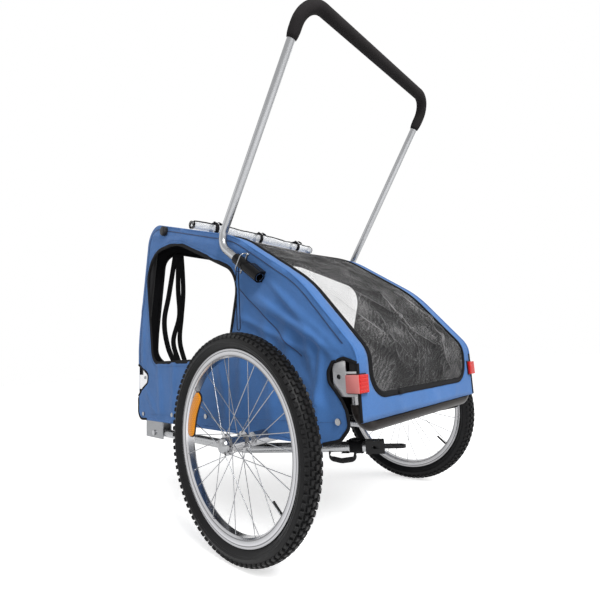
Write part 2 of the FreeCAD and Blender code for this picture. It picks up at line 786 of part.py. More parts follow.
axles = []
for side, s in SIDES:
    centre = (AXLE_X, s * size("track_half"), AXLE_Z)
    neck = RIM_W - RIM_T - 0.2
    tyre_profile = [
        (BEAD + 0.2, -neck),
        (RIM_OUT, -neck),
        (RIM_OUT + 8, -TYRE_W + 3),
        (RIM_OUT + 17, -TYRE_W),
        (TYRE_R - 9, -TYRE_W + 4),
        (TYRE_R - 2, -TYRE_W + 11),
        (TYRE_R, -TYRE_W + 18),
        (TYRE_R, TYRE_W - 18),
        (TYRE_R - 2, TYRE_W - 11),
        (TYRE_R - 9, TYRE_W - 4),
        (RIM_OUT + 17, TYRE_W),
        (RIM_OUT + 8, TYRE_W - 3),
        (RIM_OUT, neck),
        (BEAD + 0.2, neck),
        (BEAD + 0.2, neck - TYRE_T),
        (RIM_OUT, neck - TYRE_T),
        (RIM_OUT + 10, TYRE_W - 3 - TYRE_T),
        (RIM_OUT + 17, TYRE_W - TYRE_T),
        (TYRE_R - 12, TYRE_W - 5 - TYRE_T),
        (TYRE_R - TREAD - TYRE_T, TYRE_W - 16),
        (TYRE_R - TREAD - TYRE_T, -TYRE_W + 16),
        (TYRE_R - 12, -TYRE_W + 5 + TYRE_T),
        (RIM_OUT + 17, -TYRE_W + TYRE_T),
        (RIM_OUT + 10, -TYRE_W + 3 + TYRE_T),
        (RIM_OUT, -neck + TYRE_T),
        (BEAD + 0.2, -neck + TYRE_T),
    ]
    keep(side + "_tyre", turned(side + "_tyre", tyre_profile, centre))
    # the inner tube lies against the crown of the tyre's hollow
    rings = []
    for name, thinner in (("_tube_out", 0.0), ("_tube_in", size("inner_tube_wall"))):
        ring = doc.addObject("Part::Torus", side + name)
        ring.Radius1 = TYRE_R - TREAD - TYRE_T - size("inner_tube_radius") - RUN
        ring.Radius2 = size("inner_tube_radius") - thinner
        rings.append(place(ring, centre, along((0, 1, 0))))
    inner = cut(side + "_tube", rings[0], rings[1])
    rim_profile = [
        (RIM_IN, -RIM_W + 6),
        (RIM_IN + 3, -RIM_W + 1.5),
        (BEAD, -RIM_W),
        (RIM_OUT, -RIM_W),
        (RIM_OUT, -RIM_W + RIM_T),
        (BEAD, -RIM_W + RIM_T),
        (BEAD, RIM_W - RIM_T),
        (RIM_OUT, RIM_W - RIM_T),
        (RIM_OUT, RIM_W),
        (BEAD, RIM_W),
        (RIM_IN + 3, RIM_W - 1.5),
        (RIM_IN, RIM_W - 6),
    ]
    keep(side + "_rim", turned(side + "_rim", rim_profile, centre))
    spokes = []
    for flange in (-1, 1):
        for lead in (-1, 1):
            for k in range(int(size("spoke_count")) // 4):
                a, b = spoke_ends(k, flange, lead, s)
                spokes.append(Part.makeCylinder(SPOKE_R, (b - a).Length, a, b - a))
    # each spoke is trimmed to the rim's inner face
    reach = Part.makeCylinder(RIM_IN, 4 * FLANGE_Y, V(0, -2 * FLANGE_Y, 0), V(0, 1, 0))
    spoke_set = shape_of(side + "_spokes", Part.makeCompound([c.common(reach) for c in spokes]))
    keep(side + "_spokes", place(spoke_set, centre))
    bore = AXLE_R + 1.0
    hub_profile = [
        (BEARING_R, -HUB_HALF),
        (HUB_R, -HUB_HALF),
        (HUB_R, -FLANGE_Y - FLANGE_T / 2),
        (FLANGE_R, -FLANGE_Y - FLANGE_T / 2),
        (FLANGE_R, -FLANGE_Y + FLANGE_T / 2),
        (HUB_R - 2, -FLANGE_Y + FLANGE_T / 2),
        (HUB_R - 2, FLANGE_Y - FLANGE_T / 2),
        (FLANGE_R, FLANGE_Y - FLANGE_T / 2),
        (FLANGE_R, FLANGE_Y + FLANGE_T / 2),
        (HUB_R, FLANGE_Y + FLANGE_T / 2),
        (HUB_R, HUB_HALF),
        (BEARING_R, HUB_HALF),
        (BEARING_R, HUB_HALF - BEARING_W),
        (bore, HUB_HALF - BEARING_W),
        (bore, -HUB_HALF + BEARING_W),
        (BEARING_R, -HUB_HALF + BEARING_W),
    ]
    keep(side + "_hub", turned(side + "_hub", hub_profile, centre))
    rings = []
    for n, y0 in enumerate((-HUB_HALF, HUB_HALF - BEARING_W)):
        spot = (centre[0], centre[1] + y0, centre[2])
        bearing = "%s_bearing_%d" % (side, n + 1)
        bearing_bore = "axle_radius + running_gap"
        rings.append(pipe(bearing, "bearing_radius", bearing_bore, "bearing_width", spot, (0, 1, 0)))
    keep(side + "_bearings", group(side + "_bearings", rings))
    # the domed cap closes the hub's outer end over the axle's head
    wall = size("cap_wall")
    cap_profile = [
        (0.0, HUB_HALF + CAP),
        (HUB_R * 0.55, HUB_HALF + CAP * 0.9),
        (HUB_R * 0.88, HUB_HALF + CAP * 0.6),
        (HUB_R, HUB_HALF + CAP * 0.25),
        (HUB_R, HUB_HALF),
        (HUB_R - wall, HUB_HALF),
        (HUB_R - wall, HUB_HALF + CAP * 0.25),
        (HUB_R * 0.88 - wall, HUB_HALF + CAP * 0.6 - wall / 2),
        (HUB_R * 0.55 - wall, HUB_HALF + CAP * 0.9 - wall),
        (0.0, HUB_HALF + CAP - wall),
    ]
    keep(side + "_hub_cap", turned(side + "_hub_cap", cap_profile, centre, s))
    # the axle is pushed into the end of the axle tube and stays still
    tip = s * (AXLE_HALF - size("axle_depth"))
    head = centre[1] + s * (HUB_HALF + 2.0)
    axles.append(rod(side + "_axle", "axle_radius", abs(head - tip), (AXLE_X, tip, AXLE_Z), (0, s, 0)))
    angle = math.radians(-40.0)
    way = (-math.cos(angle), 0, -math.sin(angle))
    start = (centre[0] + RIM_IN * math.cos(angle), centre[1], centre[2] + RIM_IN * math.sin(angle))
    stem = rod(side + "_valve", "valve_radius", "valve_length", start, way)
    keep(side + "_inner_tube", group(side + "_tube_and_valve", [inner, stem]))
    # spoke reflector, seated on the outer faces of the outermost spokes
    lead_a, lead_b = spoke_ends(0, 1, 1, 1)
    seat = spoke_y(lead_a, lead_b, REFLECTOR - size("reflector_width") / 2) + SPOKE_R + RUN
    angle = math.radians(158.0)
    turn = FreeCAD.Rotation(V(0, 1, 0), -158.0)
    corner = turn.multVec(V(REFLECTOR - size("reflector_width") / 2, 0, -size("reflector_length") / 2))
    low_y = seat if s > 0 else -seat - size("reflector_thick")
    base = (centre[0] + corner.x, centre[1] + low_y, centre[2] + corner.z)
    reflector_size = ("reflector_width", "reflector_thick", "reflector_length")
    keep(side + "_spoke_reflector", block(side + "_spoke_reflector", reflector_size, base, turn))

keep("axles", group("axles", axles))

# Push handle, its sleeves and snap pins
SLEEVE_Y = SIDE + size("sleeve_stand") + size("sleeve_radius")
A_SLEEVE = math.radians(size("sleeve_angle"))
DOWN = (math.cos(A_SLEEVE), -math.sin(A_SLEEVE))
UP = (-DOWN[0], -DOWN[1])
TOP = (ahead("sleeve_top_ahead"), above("sleeve_top_rise"))
LOW = (TOP[0] + DOWN[0] * size("sleeve_length"), TOP[1] + DOWN[1] * size("sleeve_length"))
KNEE = (TOP[0] + UP[0] * size("handle_knee"), TOP[1] + UP[1] * size("handle_knee"))
A_HANDLE = math.radians(size("handle_angle"))
LEG = (math.cos(A_HANDLE), math.sin(A_HANDLE))
GRIP_TOP = (KNEE[0] + LEG[0] * size("handle_leg"), KNEE[1] + LEG[1] * size("handle_leg"))
NORMAL = (math.sin(A_SLEEVE), math.cos(A_SLEEVE))
PIN_AT = (TOP[0] + DOWN[0] * size("snap_pin_down"), TOP[1] + DOWN[1] * size("snap_pin_down"))
PIN_LENGTH = size("snap_pin_length")


def both_sides(points):
    near = [(x, -SLEEVE_Y, z) for x, z in points]
    far = [(x, SLEEVE_Y, z) for x, z in reversed(points)]
    return near + far


handle_points = both_sides([LOW, KNEE, GRIP_TOP])
knee_bend = size("handle_bend")
top_bend = size("handle_top_bend")
handle_bends = [knee_bend, top_bend, top_bend, knee_bend]
tube = bent_pipe("handle_bar", handle_points, handle_bends, "handle_radius", "handle_radius - handle_wall")
slots = []
for side, s in SIDES:
    # an open slot in the tube's end lets it slide off the snap pin
    slot_half = size("snap_pin_radius") + size("slot_gap")
    depth = size("sleeve_length") - size("snap_pin_down") + slot_half
    wide = 2 * (size("handle_radius") + 2.0)
    turn = FreeCAD.Rotation(V(0, 1, 0), size("sleeve_angle"))
    corner = turn.multVec(V(-depth, -slot_half, -wide / 2))
    base = (LOW[0] + corner.x, s * SLEEVE_Y + corner.y, LOW[1] + corner.z)
    slots.append(block(side + "_slot", (2 * depth, 2 * slot_half, wide), base, turn))
keep("handle_bar", cut("handle_bar_slotted", tube, join("handle_slots", slots)))

grip_from = (GRIP_TOP[0] - LEG[0] * size("grip_down"), GRIP_TOP[1] - LEG[1] * size("grip_down"))
grip_points = both_sides([grip_from, GRIP_TOP])
grip_radius = "handle_radius + grip_wall"
grip_bore = "handle_radius + running_gap"
keep("handle_grip", bent_pipe("handle_grip", grip_points, [top_bend, top_bend], grip_radius, grip_bore))

sleeves = []
feet = []
for side, s in SIDES:
    y = s * SLEEVE_Y
    way = (DOWN[0], 0, DOWN[1])
    sleeve_base = (TOP[0], y, TOP[1])
    sleeve_bore = "handle_radius + running_gap"
    sleeve = pipe(side + "_sleeve", "sleeve_radius", sleeve_bore, "sleeve_length", sleeve_base, way)
    pin_base = (PIN_AT[0] - NORMAL[0] * PIN_LENGTH / 2, y, PIN_AT[1] - NORMAL[1] * PIN_LENGTH / 2)
    across = (NORMAL[0], 0, NORMAL[1])
    hole = rod(side + "_pin_hole", "snap_pin_radius + running_gap", PIN_LENGTH, pin_base, across)
    sleeves.append(cut(side + "_sleeve_drilled", sleeve, hole))
    # foot between the sleeve and the side panel
    foot_turn = FreeCAD.Rotation(V(0, 1, 0), size("sleeve_angle"))
    foot_corner = foot_turn.multVec(V(size("sleeve_length") * 0.5, 0, -size("sleeve_radius")))
    low_y = s * SIDE if s > 0 else -SLEEVE_Y
    base = (TOP[0] + foot_corner.x, low_y, TOP[1] + foot_corner.z)
    foot_sizes = ("sleeve_length * 0.45", "sleeve_stand + sleeve_radius", "2 * sleeve_radius")
    foot = block(side + "_foot_block", foot_sizes, base, foot_turn)
    tool_base = (TOP[0] - way[0] * 40, y, TOP[1] - way[2] * 40)
    tool = rod(side + "_foot_round", "sleeve_radius", 2 * size("sleeve_length"), tool_base, way)
    feet.append(cut(side + "_sleeve_foot", foot, tool))
    pin = rod(side + "_snap_pin_rod", "snap_pin_radius", "snap_pin_length", pin_base, across)
    head_base = (PIN_AT[0] + NORMAL[0] * PIN_LENGTH / 2, y, PIN_AT[1] + NORMAL[1] * PIN_LENGTH / 2)
    head = rod(side + "_snap_pin_head", "snap_pin_radius * 1.7", "snap_pin_radius * 1.6", head_base, across)
    keep(side + "_snap_pin", join(side + "_snap_pin", [pin, head]))
keep("handle_sleeves", group("handle_sleeves", sleeves))
keep("sleeve_feet", group("sleeve_feet", feet))

# Tow arm, stowed under the floor
TOW_Z = AXLE_Z - size("tow_drop")
TOW_X = -HALF + size("tow_pivot_back")
TOW_Y = -size("tow_y")
ELBOW = (ahead("tow_elbow_ahead"), TOW_Y)
TOW_END = (ahead("tow_end_ahead"), -size("tow_end_y"))
run = math.hypot(TOW_END[0] - ELBOW[0], TOW_END[1] - ELBOW[1])
TOW_WAY = ((TOW_END[0] - ELBOW[0]) / run, (TOW_END[1] - ELBOW[1]) / run)
TOW_ANGLE = math.degrees(math.atan2(TOW_WAY[1], TOW_WAY[0]))
tow_points = [
    (TOW_X - 2 * TUBE, TOW_Y, TOW_Z),
    (ELBOW[0], ELBOW[1], TOW_Z),
    (TOW_END[0], TOW_END[1], TOW_Z),
]
arm = bent_pipe("tow_arm", tow_points, [size("tow_bend")], "tube_radius", "tube_radius - tube_wall")
eye = rod("tow_eye", "tow_pin_radius + running_gap", 8 * TUBE, (TOW_X, TOW_Y - 4 * TUBE, TOW_Z), (0, 1, 0))
keep("tow_arm", cut("tow_arm_drilled", arm, eye))
cheek = size("tow_bracket_wall")
gap = size("tow_side_gap")
arm_half = TUBE + gap
bracket_low = TOW_Z - TUBE - size("tow_bracket_lip")
bracket_top = RAIL_Z - TUBE
bracket_x = TOW_X - size("tow_bracket_length") / 2
shell_base = (bracket_x, TOW_Y - arm_half - cheek, bracket_low)
shell_size = ("tow_bracket_length", 2 * (arm_half + cheek), bracket_top - bracket_low)
shell = block("tow_shell", shell_size, shell_base)
wing_wide = -RAIL_Y + TUBE - shell_base[1]
wing_base = (bracket_x, shell_base[1], bracket_top - cheek)
wing = block("tow_wing", ("tow_bracket_length", wing_wide, "tow_bracket_wall"), wing_base)
well_long = size("tow_bracket_length")
well_low = bracket_low - TUBE
well_top = TOW_Z + 3 * TUBE
well_base = (bracket_x - well_long, TOW_Y - arm_half, well_low)
well = block("tow_well", (3 * well_long, 2 * arm_half, well_top - well_low), well_base)
pin_tool = rod("tow_pin_tool", "tow_pin_radius", 8 * TUBE, (TOW_X, TOW_Y - 4 * TUBE, TOW_Z), (0, 1, 0))
# the bracket's top plate is welded under the left rail
cheeks = cut("tow_cheeks", shell, join("tow_tools", [well, pin_tool]))
keep("tow_bracket", join("tow_bracket", [cheeks, wing]))
pin_end = size("tow_pin_end")
pin_half = arm_half + cheek + pin_end
tow_pin = rod("tow_pin_rod", "tow_pin_radius", 2 * pin_half, (TOW_X, TOW_Y - pin_half, TOW_Z), (0, 1, 0))
tow_head_base = (TOW_X, TOW_Y - arm_half - cheek, TOW_Z)
tow_pin_head = rod("tow_pin_head", "tow_pin_radius * 1.7", "tow_pin_end", tow_head_base, (0, -1, 0))
keep("tow_pin", join("tow_pin", [tow_pin, tow_pin_head]))
tow_turn = FreeCAD.Rotation(V(0, 0, 1), TOW_ANGLE)


def on_arm(distance, side_step, z):
    # a point past the arm's end, along it and to its left
    x = TOW_END[0] + TOW_WAY[0] * distance - TOW_WAY[1] * side_step
    y = TOW_END[1] + TOW_WAY[1] * distance + TOW_WAY[0] * side_step
    return (x, y, z)


HITCH = size("hitch_length")
HITCH_HALF = size("hitch_side") / 2
THICK = size("tongue_thick")
PLAY = size("tongue_play")
PIVOT = HITCH - size("tongue_pivot_in")
SLOT_IN = PIVOT - size("tongue_width") / 2 - size("tongue_root_gap")
hitch_base = on_arm(0, -HITCH_HALF, TOW_Z - HITCH_HALF)
hitch = block("hitch_solid", ("hitch_length", "hitch_side", "hitch_side"), hitch_base, tow_turn)
pivot = on_arm(PIVOT, 0, TOW_Z - HITCH_HALF)
slot_base = on_arm(SLOT_IN, -2 * HITCH_HALF, TOW_Z - THICK / 2 - PLAY)
slot = block("hitch_slot", (HITCH, 4 * HITCH_HALF, THICK + 2 * PLAY), slot_base, tow_turn)
slot_hole = rod("hitch_hole", "tongue_pin_radius", "hitch_side", pivot, (0, 0, 1))
keep("hitch_block", cut("hitch_block", hitch, join("hitch_tools", [slot, slot_hole])))
keep("tongue_pin", rod("tongue_pin", "tongue_pin_radius", "hitch_side", pivot, (0, 0, 1)))
reach = size("tongue_reach")
flat_base = on_arm(PIVOT, -size("tongue_width") / 2, TOW_Z - THICK / 2)
flat = block("tongue_flat", ("tongue_reach", "tongue_width", "tongue_thick"), flat_base, tow_turn)
root_base = on_arm(PIVOT, 0, TOW_Z - THICK / 2)
root_end = rod("tongue_root", "tongue_width / 2", "tongue_thick", root_base, (0, 0, 1))
nose_base = on_arm(PIVOT + reach, 0, TOW_Z - THICK / 2)
nose = rod("tongue_nose", "tongue_width / 2", "tongue_thick", nose_base, (0, 0, 1))
hole_base = on_arm(PIVOT, 0, TOW_Z - 2 * THICK)
pin_hole = rod("tongue_pin_hole", "tongue_pin_radius + running_gap", 4 * THICK, hole_base, (0, 0, 1))
eye_hole = rod("tongue_eye", "tongue_hole", 4 * THICK, on_arm(PIVOT + reach, 0, TOW_Z - 2 * THICK), (0, 0, 1))
tongue = join("tongue_blank", [flat, root_end, nose])
keep("hitch_tongue", cut("hitch_tongue", tongue, join("tongue_tools", [pin_hole, eye_hole])))
band_way = (TOW_WAY[0], TOW_WAY[1], 0)
strap_at = on_arm(-size("strap_back"), 0, TOW_Z)
strap_radius = "tube_radius + strap_wall"
keep("tow_strap", pipe("tow_strap", strap_radius, "tube_radius", "strap_width", strap_at, band_way))

# Rear reflectors, knobs, snaps and bolts
backs = []
lenses = []
for side, s in SIDES:
    # each reflector wraps its rear corner: a leg across the rear face and a leg along the side
    z = above("lamp_rise") - size("lamp_height") / 2
    inset_z = z + size("lens_inset")
    back = size("lamp_back")
    lens = size("lamp_lens")
    wide = size("lamp_width")
    wrap = size("lamp_wrap")
    tall = "lamp_height - 2 * lens_inset"
    name = side + "_lamp"
    rear_y = SIDE - wide if s > 0 else -SIDE - back
    rear_leg = block(name + "_rear", (back, wide + back, "lamp_height"), (REAR, rear_y, z))
    side_y = SIDE if s > 0 else -SIDE - back
    side_leg = block(name + "_side", (wrap, back, "lamp_height"), (REAR - wrap, side_y, z))
    backs.append(join(name + "_back", [rear_leg, side_leg]))
    in_y = size("lens_inset")
    rear_y = SIDE - wide + in_y if s > 0 else -SIDE - back - lens
    rear_size = (lens, wide - in_y + back + lens, tall)
    lens_rear = block(name + "_lens_rear", rear_size, (REAR + back, rear_y, inset_z))
    side_y = SIDE + back if s > 0 else -SIDE - back - lens
    side_size = (wrap - in_y + back, lens, tall)
    lens_side = block(name + "_lens_side", side_size, (REAR - wrap + in_y, side_y, inset_z))
    lenses.append(join(name + "_lens", [lens_rear, lens_side]))
keep("lamp_backs", group("lamp_backs", backs))
keep("lamp_lenses", group("lamp_lenses", lenses))
knobs = []
for side, s in SIDES:
    knob_base = (CROWN_BAR[0], s * SIDE, CROWN_BAR[1])
    knobs.append(rod(side + "_knob", "knob_radius", "knob_length", knob_base, (0, s, 0)))
keep("bar_knobs", group("bar_knobs", knobs))


def hem_at(x):
    # height of the side panel's lower edge
    share = (x - P_FRONT[0]) / (P_HEM[0] - P_FRONT[0])
    return P_FRONT[1] + (P_HEM[1] - P_FRONT[1]) * share


snaps = []
for side, s in SIDES:
    first = FRONT_X + size("snap_front_in")
    last = REAR_X - size("snap_rear_in")
    for n, share in enumerate((0.0, 0.23, 0.45, 1.0)):
        x = first + (last - first) * share
        at = (x, s * SIDE, hem_at(x) + size("snap_rise"))
        snaps.append(rod("%s_snap_%d" % (side, n), "snap_radius", "snap_height", at, (0, s, 0)))
keep("hem_snaps", group("hem_snaps", snaps))
bolts = []
for side, s in SIDES:
    for end, x in (("front", FRONT_X), ("rear", REAR_X)):
        # each bolt sits in the middle of its bracket's flange, inside the cut-out of the cloth
        inward = 1 if x < 0 else -1
        bolt_x = x + inward * (BRACKET + size("bracket_flange") / 2)
        at = (bolt_x, s * (FRAME_Y + BRACKET), HINGE_Z + size("cutout_rise"))
        bolts.append(rod("%s_%s_bolt" % (side, end), "bolt_radius", "bolt_height", at, (0, s, 0)))
keep("bracket_bolts", group("bracket_bolts", bolts))

# Tether cords: each hangs in a narrow loop from its sleeve
for side, s in SIDES:
    y = s * SLEEVE_Y
    start = size("snap_pin_down") - 2 * size("cord_loop")
    top_x = TOP[0] + DOWN[0] * start - NORMAL[0] * size("sleeve_radius")
    top_z = TOP[1] + DOWN[1] * start - NORMAL[1] * size("sleeve_radius")
    gap = size("cord_loop") / 2
    low_z = top_z - size("cord_drop")
    # one end leaves the sleeve square to it, the other rises straight into its lower side
    left_z = top_z - gap * NORMAL[1] / NORMAL[0]
    right_z = top_z + (gap + size("cord_radius")) * DOWN[1] / DOWN[0]
    loop = [
        (top_x, y, top_z),
        (top_x - gap, y, left_z),
        (top_x - gap, y, low_z),
        (top_x + gap, y, low_z),
        (top_x + gap, y, right_z),
    ]
    bends = [gap, gap * 0.98, gap * 0.98]
    name = side + "_tether"
    keep(name, bent_pipe(name, loop, bends, "cord_radius", None))

doc.recompute()
faults = []
for obj in doc.Objects:
    if "Invalid" in obj.State or "Error" in obj.State:
        faults.append(obj.Name + " " + str(obj.State))
for label, obj in pieces.items():
    if obj.Shape.isNull() or not obj.Shape.isValid() or not obj.Shape.Solids:
        faults.append(label + " shape")
if faults:
    raise RuntimeError("; ".join(faults))
os.makedirs("parts", exist_ok=True)
for label, obj in pieces.items():
    obj.Shape.exportStep("parts/" + label + ".step")
print(len(pieces), "pieces")
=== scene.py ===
import bisect
import math

import bmesh
import bpy
from mathutils import Matrix, Vector, noise
from mathutils.geometry import delaunay_2d_cdt
from mathutils.kdtree import KDTree


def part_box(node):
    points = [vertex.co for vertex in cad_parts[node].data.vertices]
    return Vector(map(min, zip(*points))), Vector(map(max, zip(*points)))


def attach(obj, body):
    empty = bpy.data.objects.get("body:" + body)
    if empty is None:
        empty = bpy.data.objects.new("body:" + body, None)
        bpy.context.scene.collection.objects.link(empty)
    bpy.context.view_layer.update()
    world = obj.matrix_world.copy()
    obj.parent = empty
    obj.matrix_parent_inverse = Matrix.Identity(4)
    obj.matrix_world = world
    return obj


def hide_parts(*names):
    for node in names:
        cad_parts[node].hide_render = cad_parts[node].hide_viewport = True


# Dog bike trailer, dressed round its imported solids. Metres. +X rear, +Y right, +Z up, floor z = 0.
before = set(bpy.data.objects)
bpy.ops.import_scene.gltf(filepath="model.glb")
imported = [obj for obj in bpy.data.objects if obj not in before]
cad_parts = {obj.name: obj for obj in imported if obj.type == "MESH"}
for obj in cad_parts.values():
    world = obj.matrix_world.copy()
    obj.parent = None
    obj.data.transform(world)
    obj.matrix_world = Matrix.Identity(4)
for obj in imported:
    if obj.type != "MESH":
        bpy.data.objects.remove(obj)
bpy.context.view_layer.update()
scene = bpy.context.scene
scene.view_settings.view_transform = "Standard"

# Camera at the photograph's angle
EYE = Vector((0.96660, -0.93153, 0.43651))
LOOK = Vector((-0.68609, 0.71421, 0.13854)).normalized()
UPWARD = Vector((0.13503, -0.06211, 0.98889))
RIGHT = LOOK.cross(UPWARD).normalized()
UPWARD = RIGHT.cross(LOOK)
camera = bpy.data.objects.new("camera", bpy.data.cameras.new("camera"))
camera.data.lens = 24.0
camera.data.sensor_width = 36.0
camera.data.clip_start = 0.02
camera.matrix_world = Matrix((
    (RIGHT.x, UPWARD.x, -LOOK.x, EYE.x),
    (RIGHT.y, UPWARD.y, -LOOK.y, EYE.y),
    (RIGHT.z, UPWARD.z, -LOOK.z, EYE.z),
    (0.0, 0.0, 0.0, 1.0),
))
scene.collection.objects.link(camera)
scene.camera = camera

# The cabin's outline and the places that the solids use
HALF = 0.496
REAR = 0.487
SIDE = 0.280
SKIN_HALF = 0.2776
P_FRONT = (-HALF, 0.245)
P_KNEE = (-HALF, 0.520)
P_CROWN = (-0.401, 0.945)
P_RIDGE = (0.100, 0.775)
P_SLOPE = (0.340, 0.612)
P_REAR = (REAR, 0.440)
P_REAR_HEM = (REAR, 0.300)
SILL_Z = 0.340
ROUNDS = (0.5, 0.072, 0.38, 0.38, 0.060)
DOOR_HALF = 0.240
DOOR_GAP = 0.001
DOOR_CORNER = 0.058
ZIP = 0.012
SLEEVE_ANGLE = math.radians(36.7)
DOWN = (math.cos(SLEEVE_ANGLE), -math.sin(SLEEVE_ANGLE))
ACROSS = (math.sin(SLEEVE_ANGLE), math.cos(SLEEVE_ANGLE))
SLEEVE_TOP = (0.134, 0.701)
SLEEVE_Y = 0.298
SLEEVE_R = 0.015
PIN_DOWN = 0.036
SIDES = (("left", -1), ("right", 1))


def toward(a, b, distance):
    run = math.hypot(b[0] - a[0], b[1] - a[1])
    return (a[0] + (b[0] - a[0]) * distance / run, a[1] + (b[1] - a[1]) * distance / run)


ROOF_START = toward(P_CROWN, P_RIDGE, 0.092)
DOOR_TOP = toward(P_RIDGE, P_CROWN, 0.205)


# Materials
# a wave texture's bands are 2 pi / 20 of a unit apart at scale 1
BAND = 0.314


def dial(shader, values):
    for key, value in values.items():
        shader.inputs[key].default_value = value


def new_material(name, colour, rough, metallic=0.0):
    mat = bpy.data.materials.new(name)
    mat.use_nodes = True
    shader = mat.node_tree.nodes["Principled BSDF"]
    dial(shader, {"Base Color": (*colour, 1.0), "Roughness": rough, "Metallic": metallic})
    return mat, mat.node_tree, shader


def node(tree, kind, **settings):
    made = tree.nodes.new(kind)
    for key, value in settings.items():
        if key in made.inputs:
            made.inputs[key].default_value = value
        else:
            setattr(made, key, value)
    return made


def coords(tree, scale=(1.0, 1.0, 1.0)):
    place = node(tree, "ShaderNodeTexCoord")
    turn = node(tree, "ShaderNodeMapping", Scale=scale)
    tree.links.new(place.outputs["Object"], turn.inputs["Vector"])
    return turn.outputs["Vector"]


def noise_of(tree, vector, scale, detail):
    made = node(tree, "ShaderNodeTexNoise", Scale=scale, Detail=detail, Roughness=0.55)
    tree.links.new(vector, made.inputs["Vector"])
    return made.outputs["Fac"]


def bands_of(tree, vector, scale, axis, distortion=0.0):
    made = node(tree, "ShaderNodeTexWave", Scale=scale, Distortion=distortion, bands_direction=axis)
    tree.links.new(vector, made.inputs["Vector"])
    return made.outputs["Fac"]


def math_of(tree, action, a, b=0.0):
    made = node(tree, "ShaderNodeMath", operation=action)
    for slot, value in ((0, a), (1, b)):
        if isinstance(value, (int, float)):
            made.inputs[slot].default_value = value
        else:
            tree.links.new(value, made.inputs[slot])
    return made.outputs[0]


def plus(tree, a, b):
    return math_of(tree, "ADD", a, b)


def times(tree, a, b):
    return math_of(tree, "MULTIPLY", a, b)


def tint(tree, shader, fac, stops):
    # base colour from a ramp of (place, colour) stops
    ramp = node(tree, "ShaderNodeValToRGB")
    for element, (place, colour) in zip(ramp.color_ramp.elements, (stops[0], stops[-1])):
        element.position = place
        element.color = (*colour, 1.0)
    for place, colour in stops[1:-1]:
        ramp.color_ramp.elements.new(place).color = (*colour, 1.0)
    tree.links.new(fac, ramp.inputs["Fac"])
    tree.links.new(ramp.outputs["Color"], shader.inputs["Base Color"])


def uneven(tree, shader, fac, rough, span):
    # roughness that wanders by span about its middle value
    tree.links.new(plus(tree, times(tree, fac, span), rough - span / 2), shader.inputs["Roughness"])


def bump_of(tree, shader, height, strength, distance):
    made = node(tree, "ShaderNodeBump", Strength=strength, Distance=distance)
    tree.links.new(height, made.inputs["Height"])
    tree.links.new(made.outputs["Normal"], shader.inputs["Normal"])


def shade(colour, k):
    return tuple(min(1.0, c * k) for c in colour)


def cloth(name, colour, pitch, rough=0.78, sheen=0.12, spread=0.14, plane="XZ", gloss=0.3):
    # a plain weave: two crossed sets of threads, with slow changes of tone over the panel
    mat, tree, shader = new_material(name, colour, rough)
    vector = coords(tree)
    tone = noise_of(tree, vector, 9.0, 4.0)
    fine = noise_of(tree, vector, 420.0, 2.0)
    mixed = plus(tree, times(tree, tone, 0.6), times(tree, fine, 0.4))
    stops = [(0.3, shade(colour, 1 - spread)), (0.5, colour), (0.72, shade(colour, 1 + spread))]
    tint(tree, shader, mixed, stops)
    warp, weft = (bands_of(tree, vector, BAND / pitch, axis) for axis in plane)
    height = plus(tree, times(tree, warp, weft), times(tree, fine, 0.6))
    bump_of(tree, shader, height, 0.5, 0.0006)
    dial(shader, {"Sheen Weight": sheen, "Sheen Roughness": 0.5, "Specular IOR Level": gloss})
    return mat


def metal(name, colour, rough, grain=(60.0, 900.0, 60.0), spread=0.10):
    # drawn or pressed metal with fine streaks and uneven gloss
    mat, tree, shader = new_material(name, colour, rough, 1.0)
    streaks = noise_of(tree, coords(tree, grain), 1.0, 4.0)
    tint(tree, shader, streaks, [(0.25, shade(colour, 1 - spread)), (0.75, shade(colour, 1 + spread / 2))])
    uneven(tree, shader, noise_of(tree, coords(tree), 35.0, 5.0), rough, 0.22)
    bump_of(tree, shader, streaks, 0.06, 0.0004)
    return mat


def ringed_metal(name, rough, centre, rings):
    # metal whose tone changes in steps with the distance from the axle: painted highlight bands and painted
    # shade in the grooves
    mat, tree, shader = new_material(name, rings[0][1], rough, 1.0)
    place = node(tree, "ShaderNodeSeparateXYZ")
    tree.links.new(coords(tree), place.inputs["Vector"])
    away = []
    for axis, middle in zip("XZ", centre):
        off = math_of(tree, "SUBTRACT", place.outputs[axis], middle)
        away.append(times(tree, off, off))
    radius = math_of(tree, "SQRT", plus(tree, *away))
    first, last = rings[0][0], rings[-1][0]
    share = math_of(tree, "DIVIDE", math_of(tree, "SUBTRACT", radius, first), last - first)
    tint(tree, shader, share, [((r - first) / (last - first), colour) for r, colour in rings])
    return mat


def plastic(name, colour, rough, grain=900.0, depth=0.0003, spread=0.18, gloss=0.2):
    # plastic, rubber or foam with a fine grain
    mat, tree, shader = new_material(name, colour, rough)
    vector = coords(tree)
    tone = noise_of(tree, vector, 26.0, 4.0)
    tint(tree, shader, tone, [(0.3, shade(colour, 1 - spread)), (0.7, shade(colour, 1 + spread))])
    uneven(tree, shader, tone, rough, 0.2)
    bump_of(tree, shader, noise_of(tree, vector, grain, 2.0), 0.35, depth)
    dial(shader, {"Specular IOR Level": gloss})
    return mat


def lens(name, colour, pitch, contrast):
    # a clear moulded lens over prisms
    mat, tree, shader = new_material(name, colour, 0.16)
    vector = coords(tree)
    prisms = times(tree, *(bands_of(tree, vector, BAND / pitch, axis) for axis in ("Z", "DIAGONAL")))
    tint(tree, shader, prisms, [(0.1, shade(colour, 1 - contrast)), (0.9, shade(colour, 1 + contrast))])
    bump_of(tree, shader, prisms, 0.25, 0.0008)
    dial(shader, {"Coat Weight": 0.1, "Coat Roughness": 0.06, "Specular IOR Level": 0.18})
    return mat


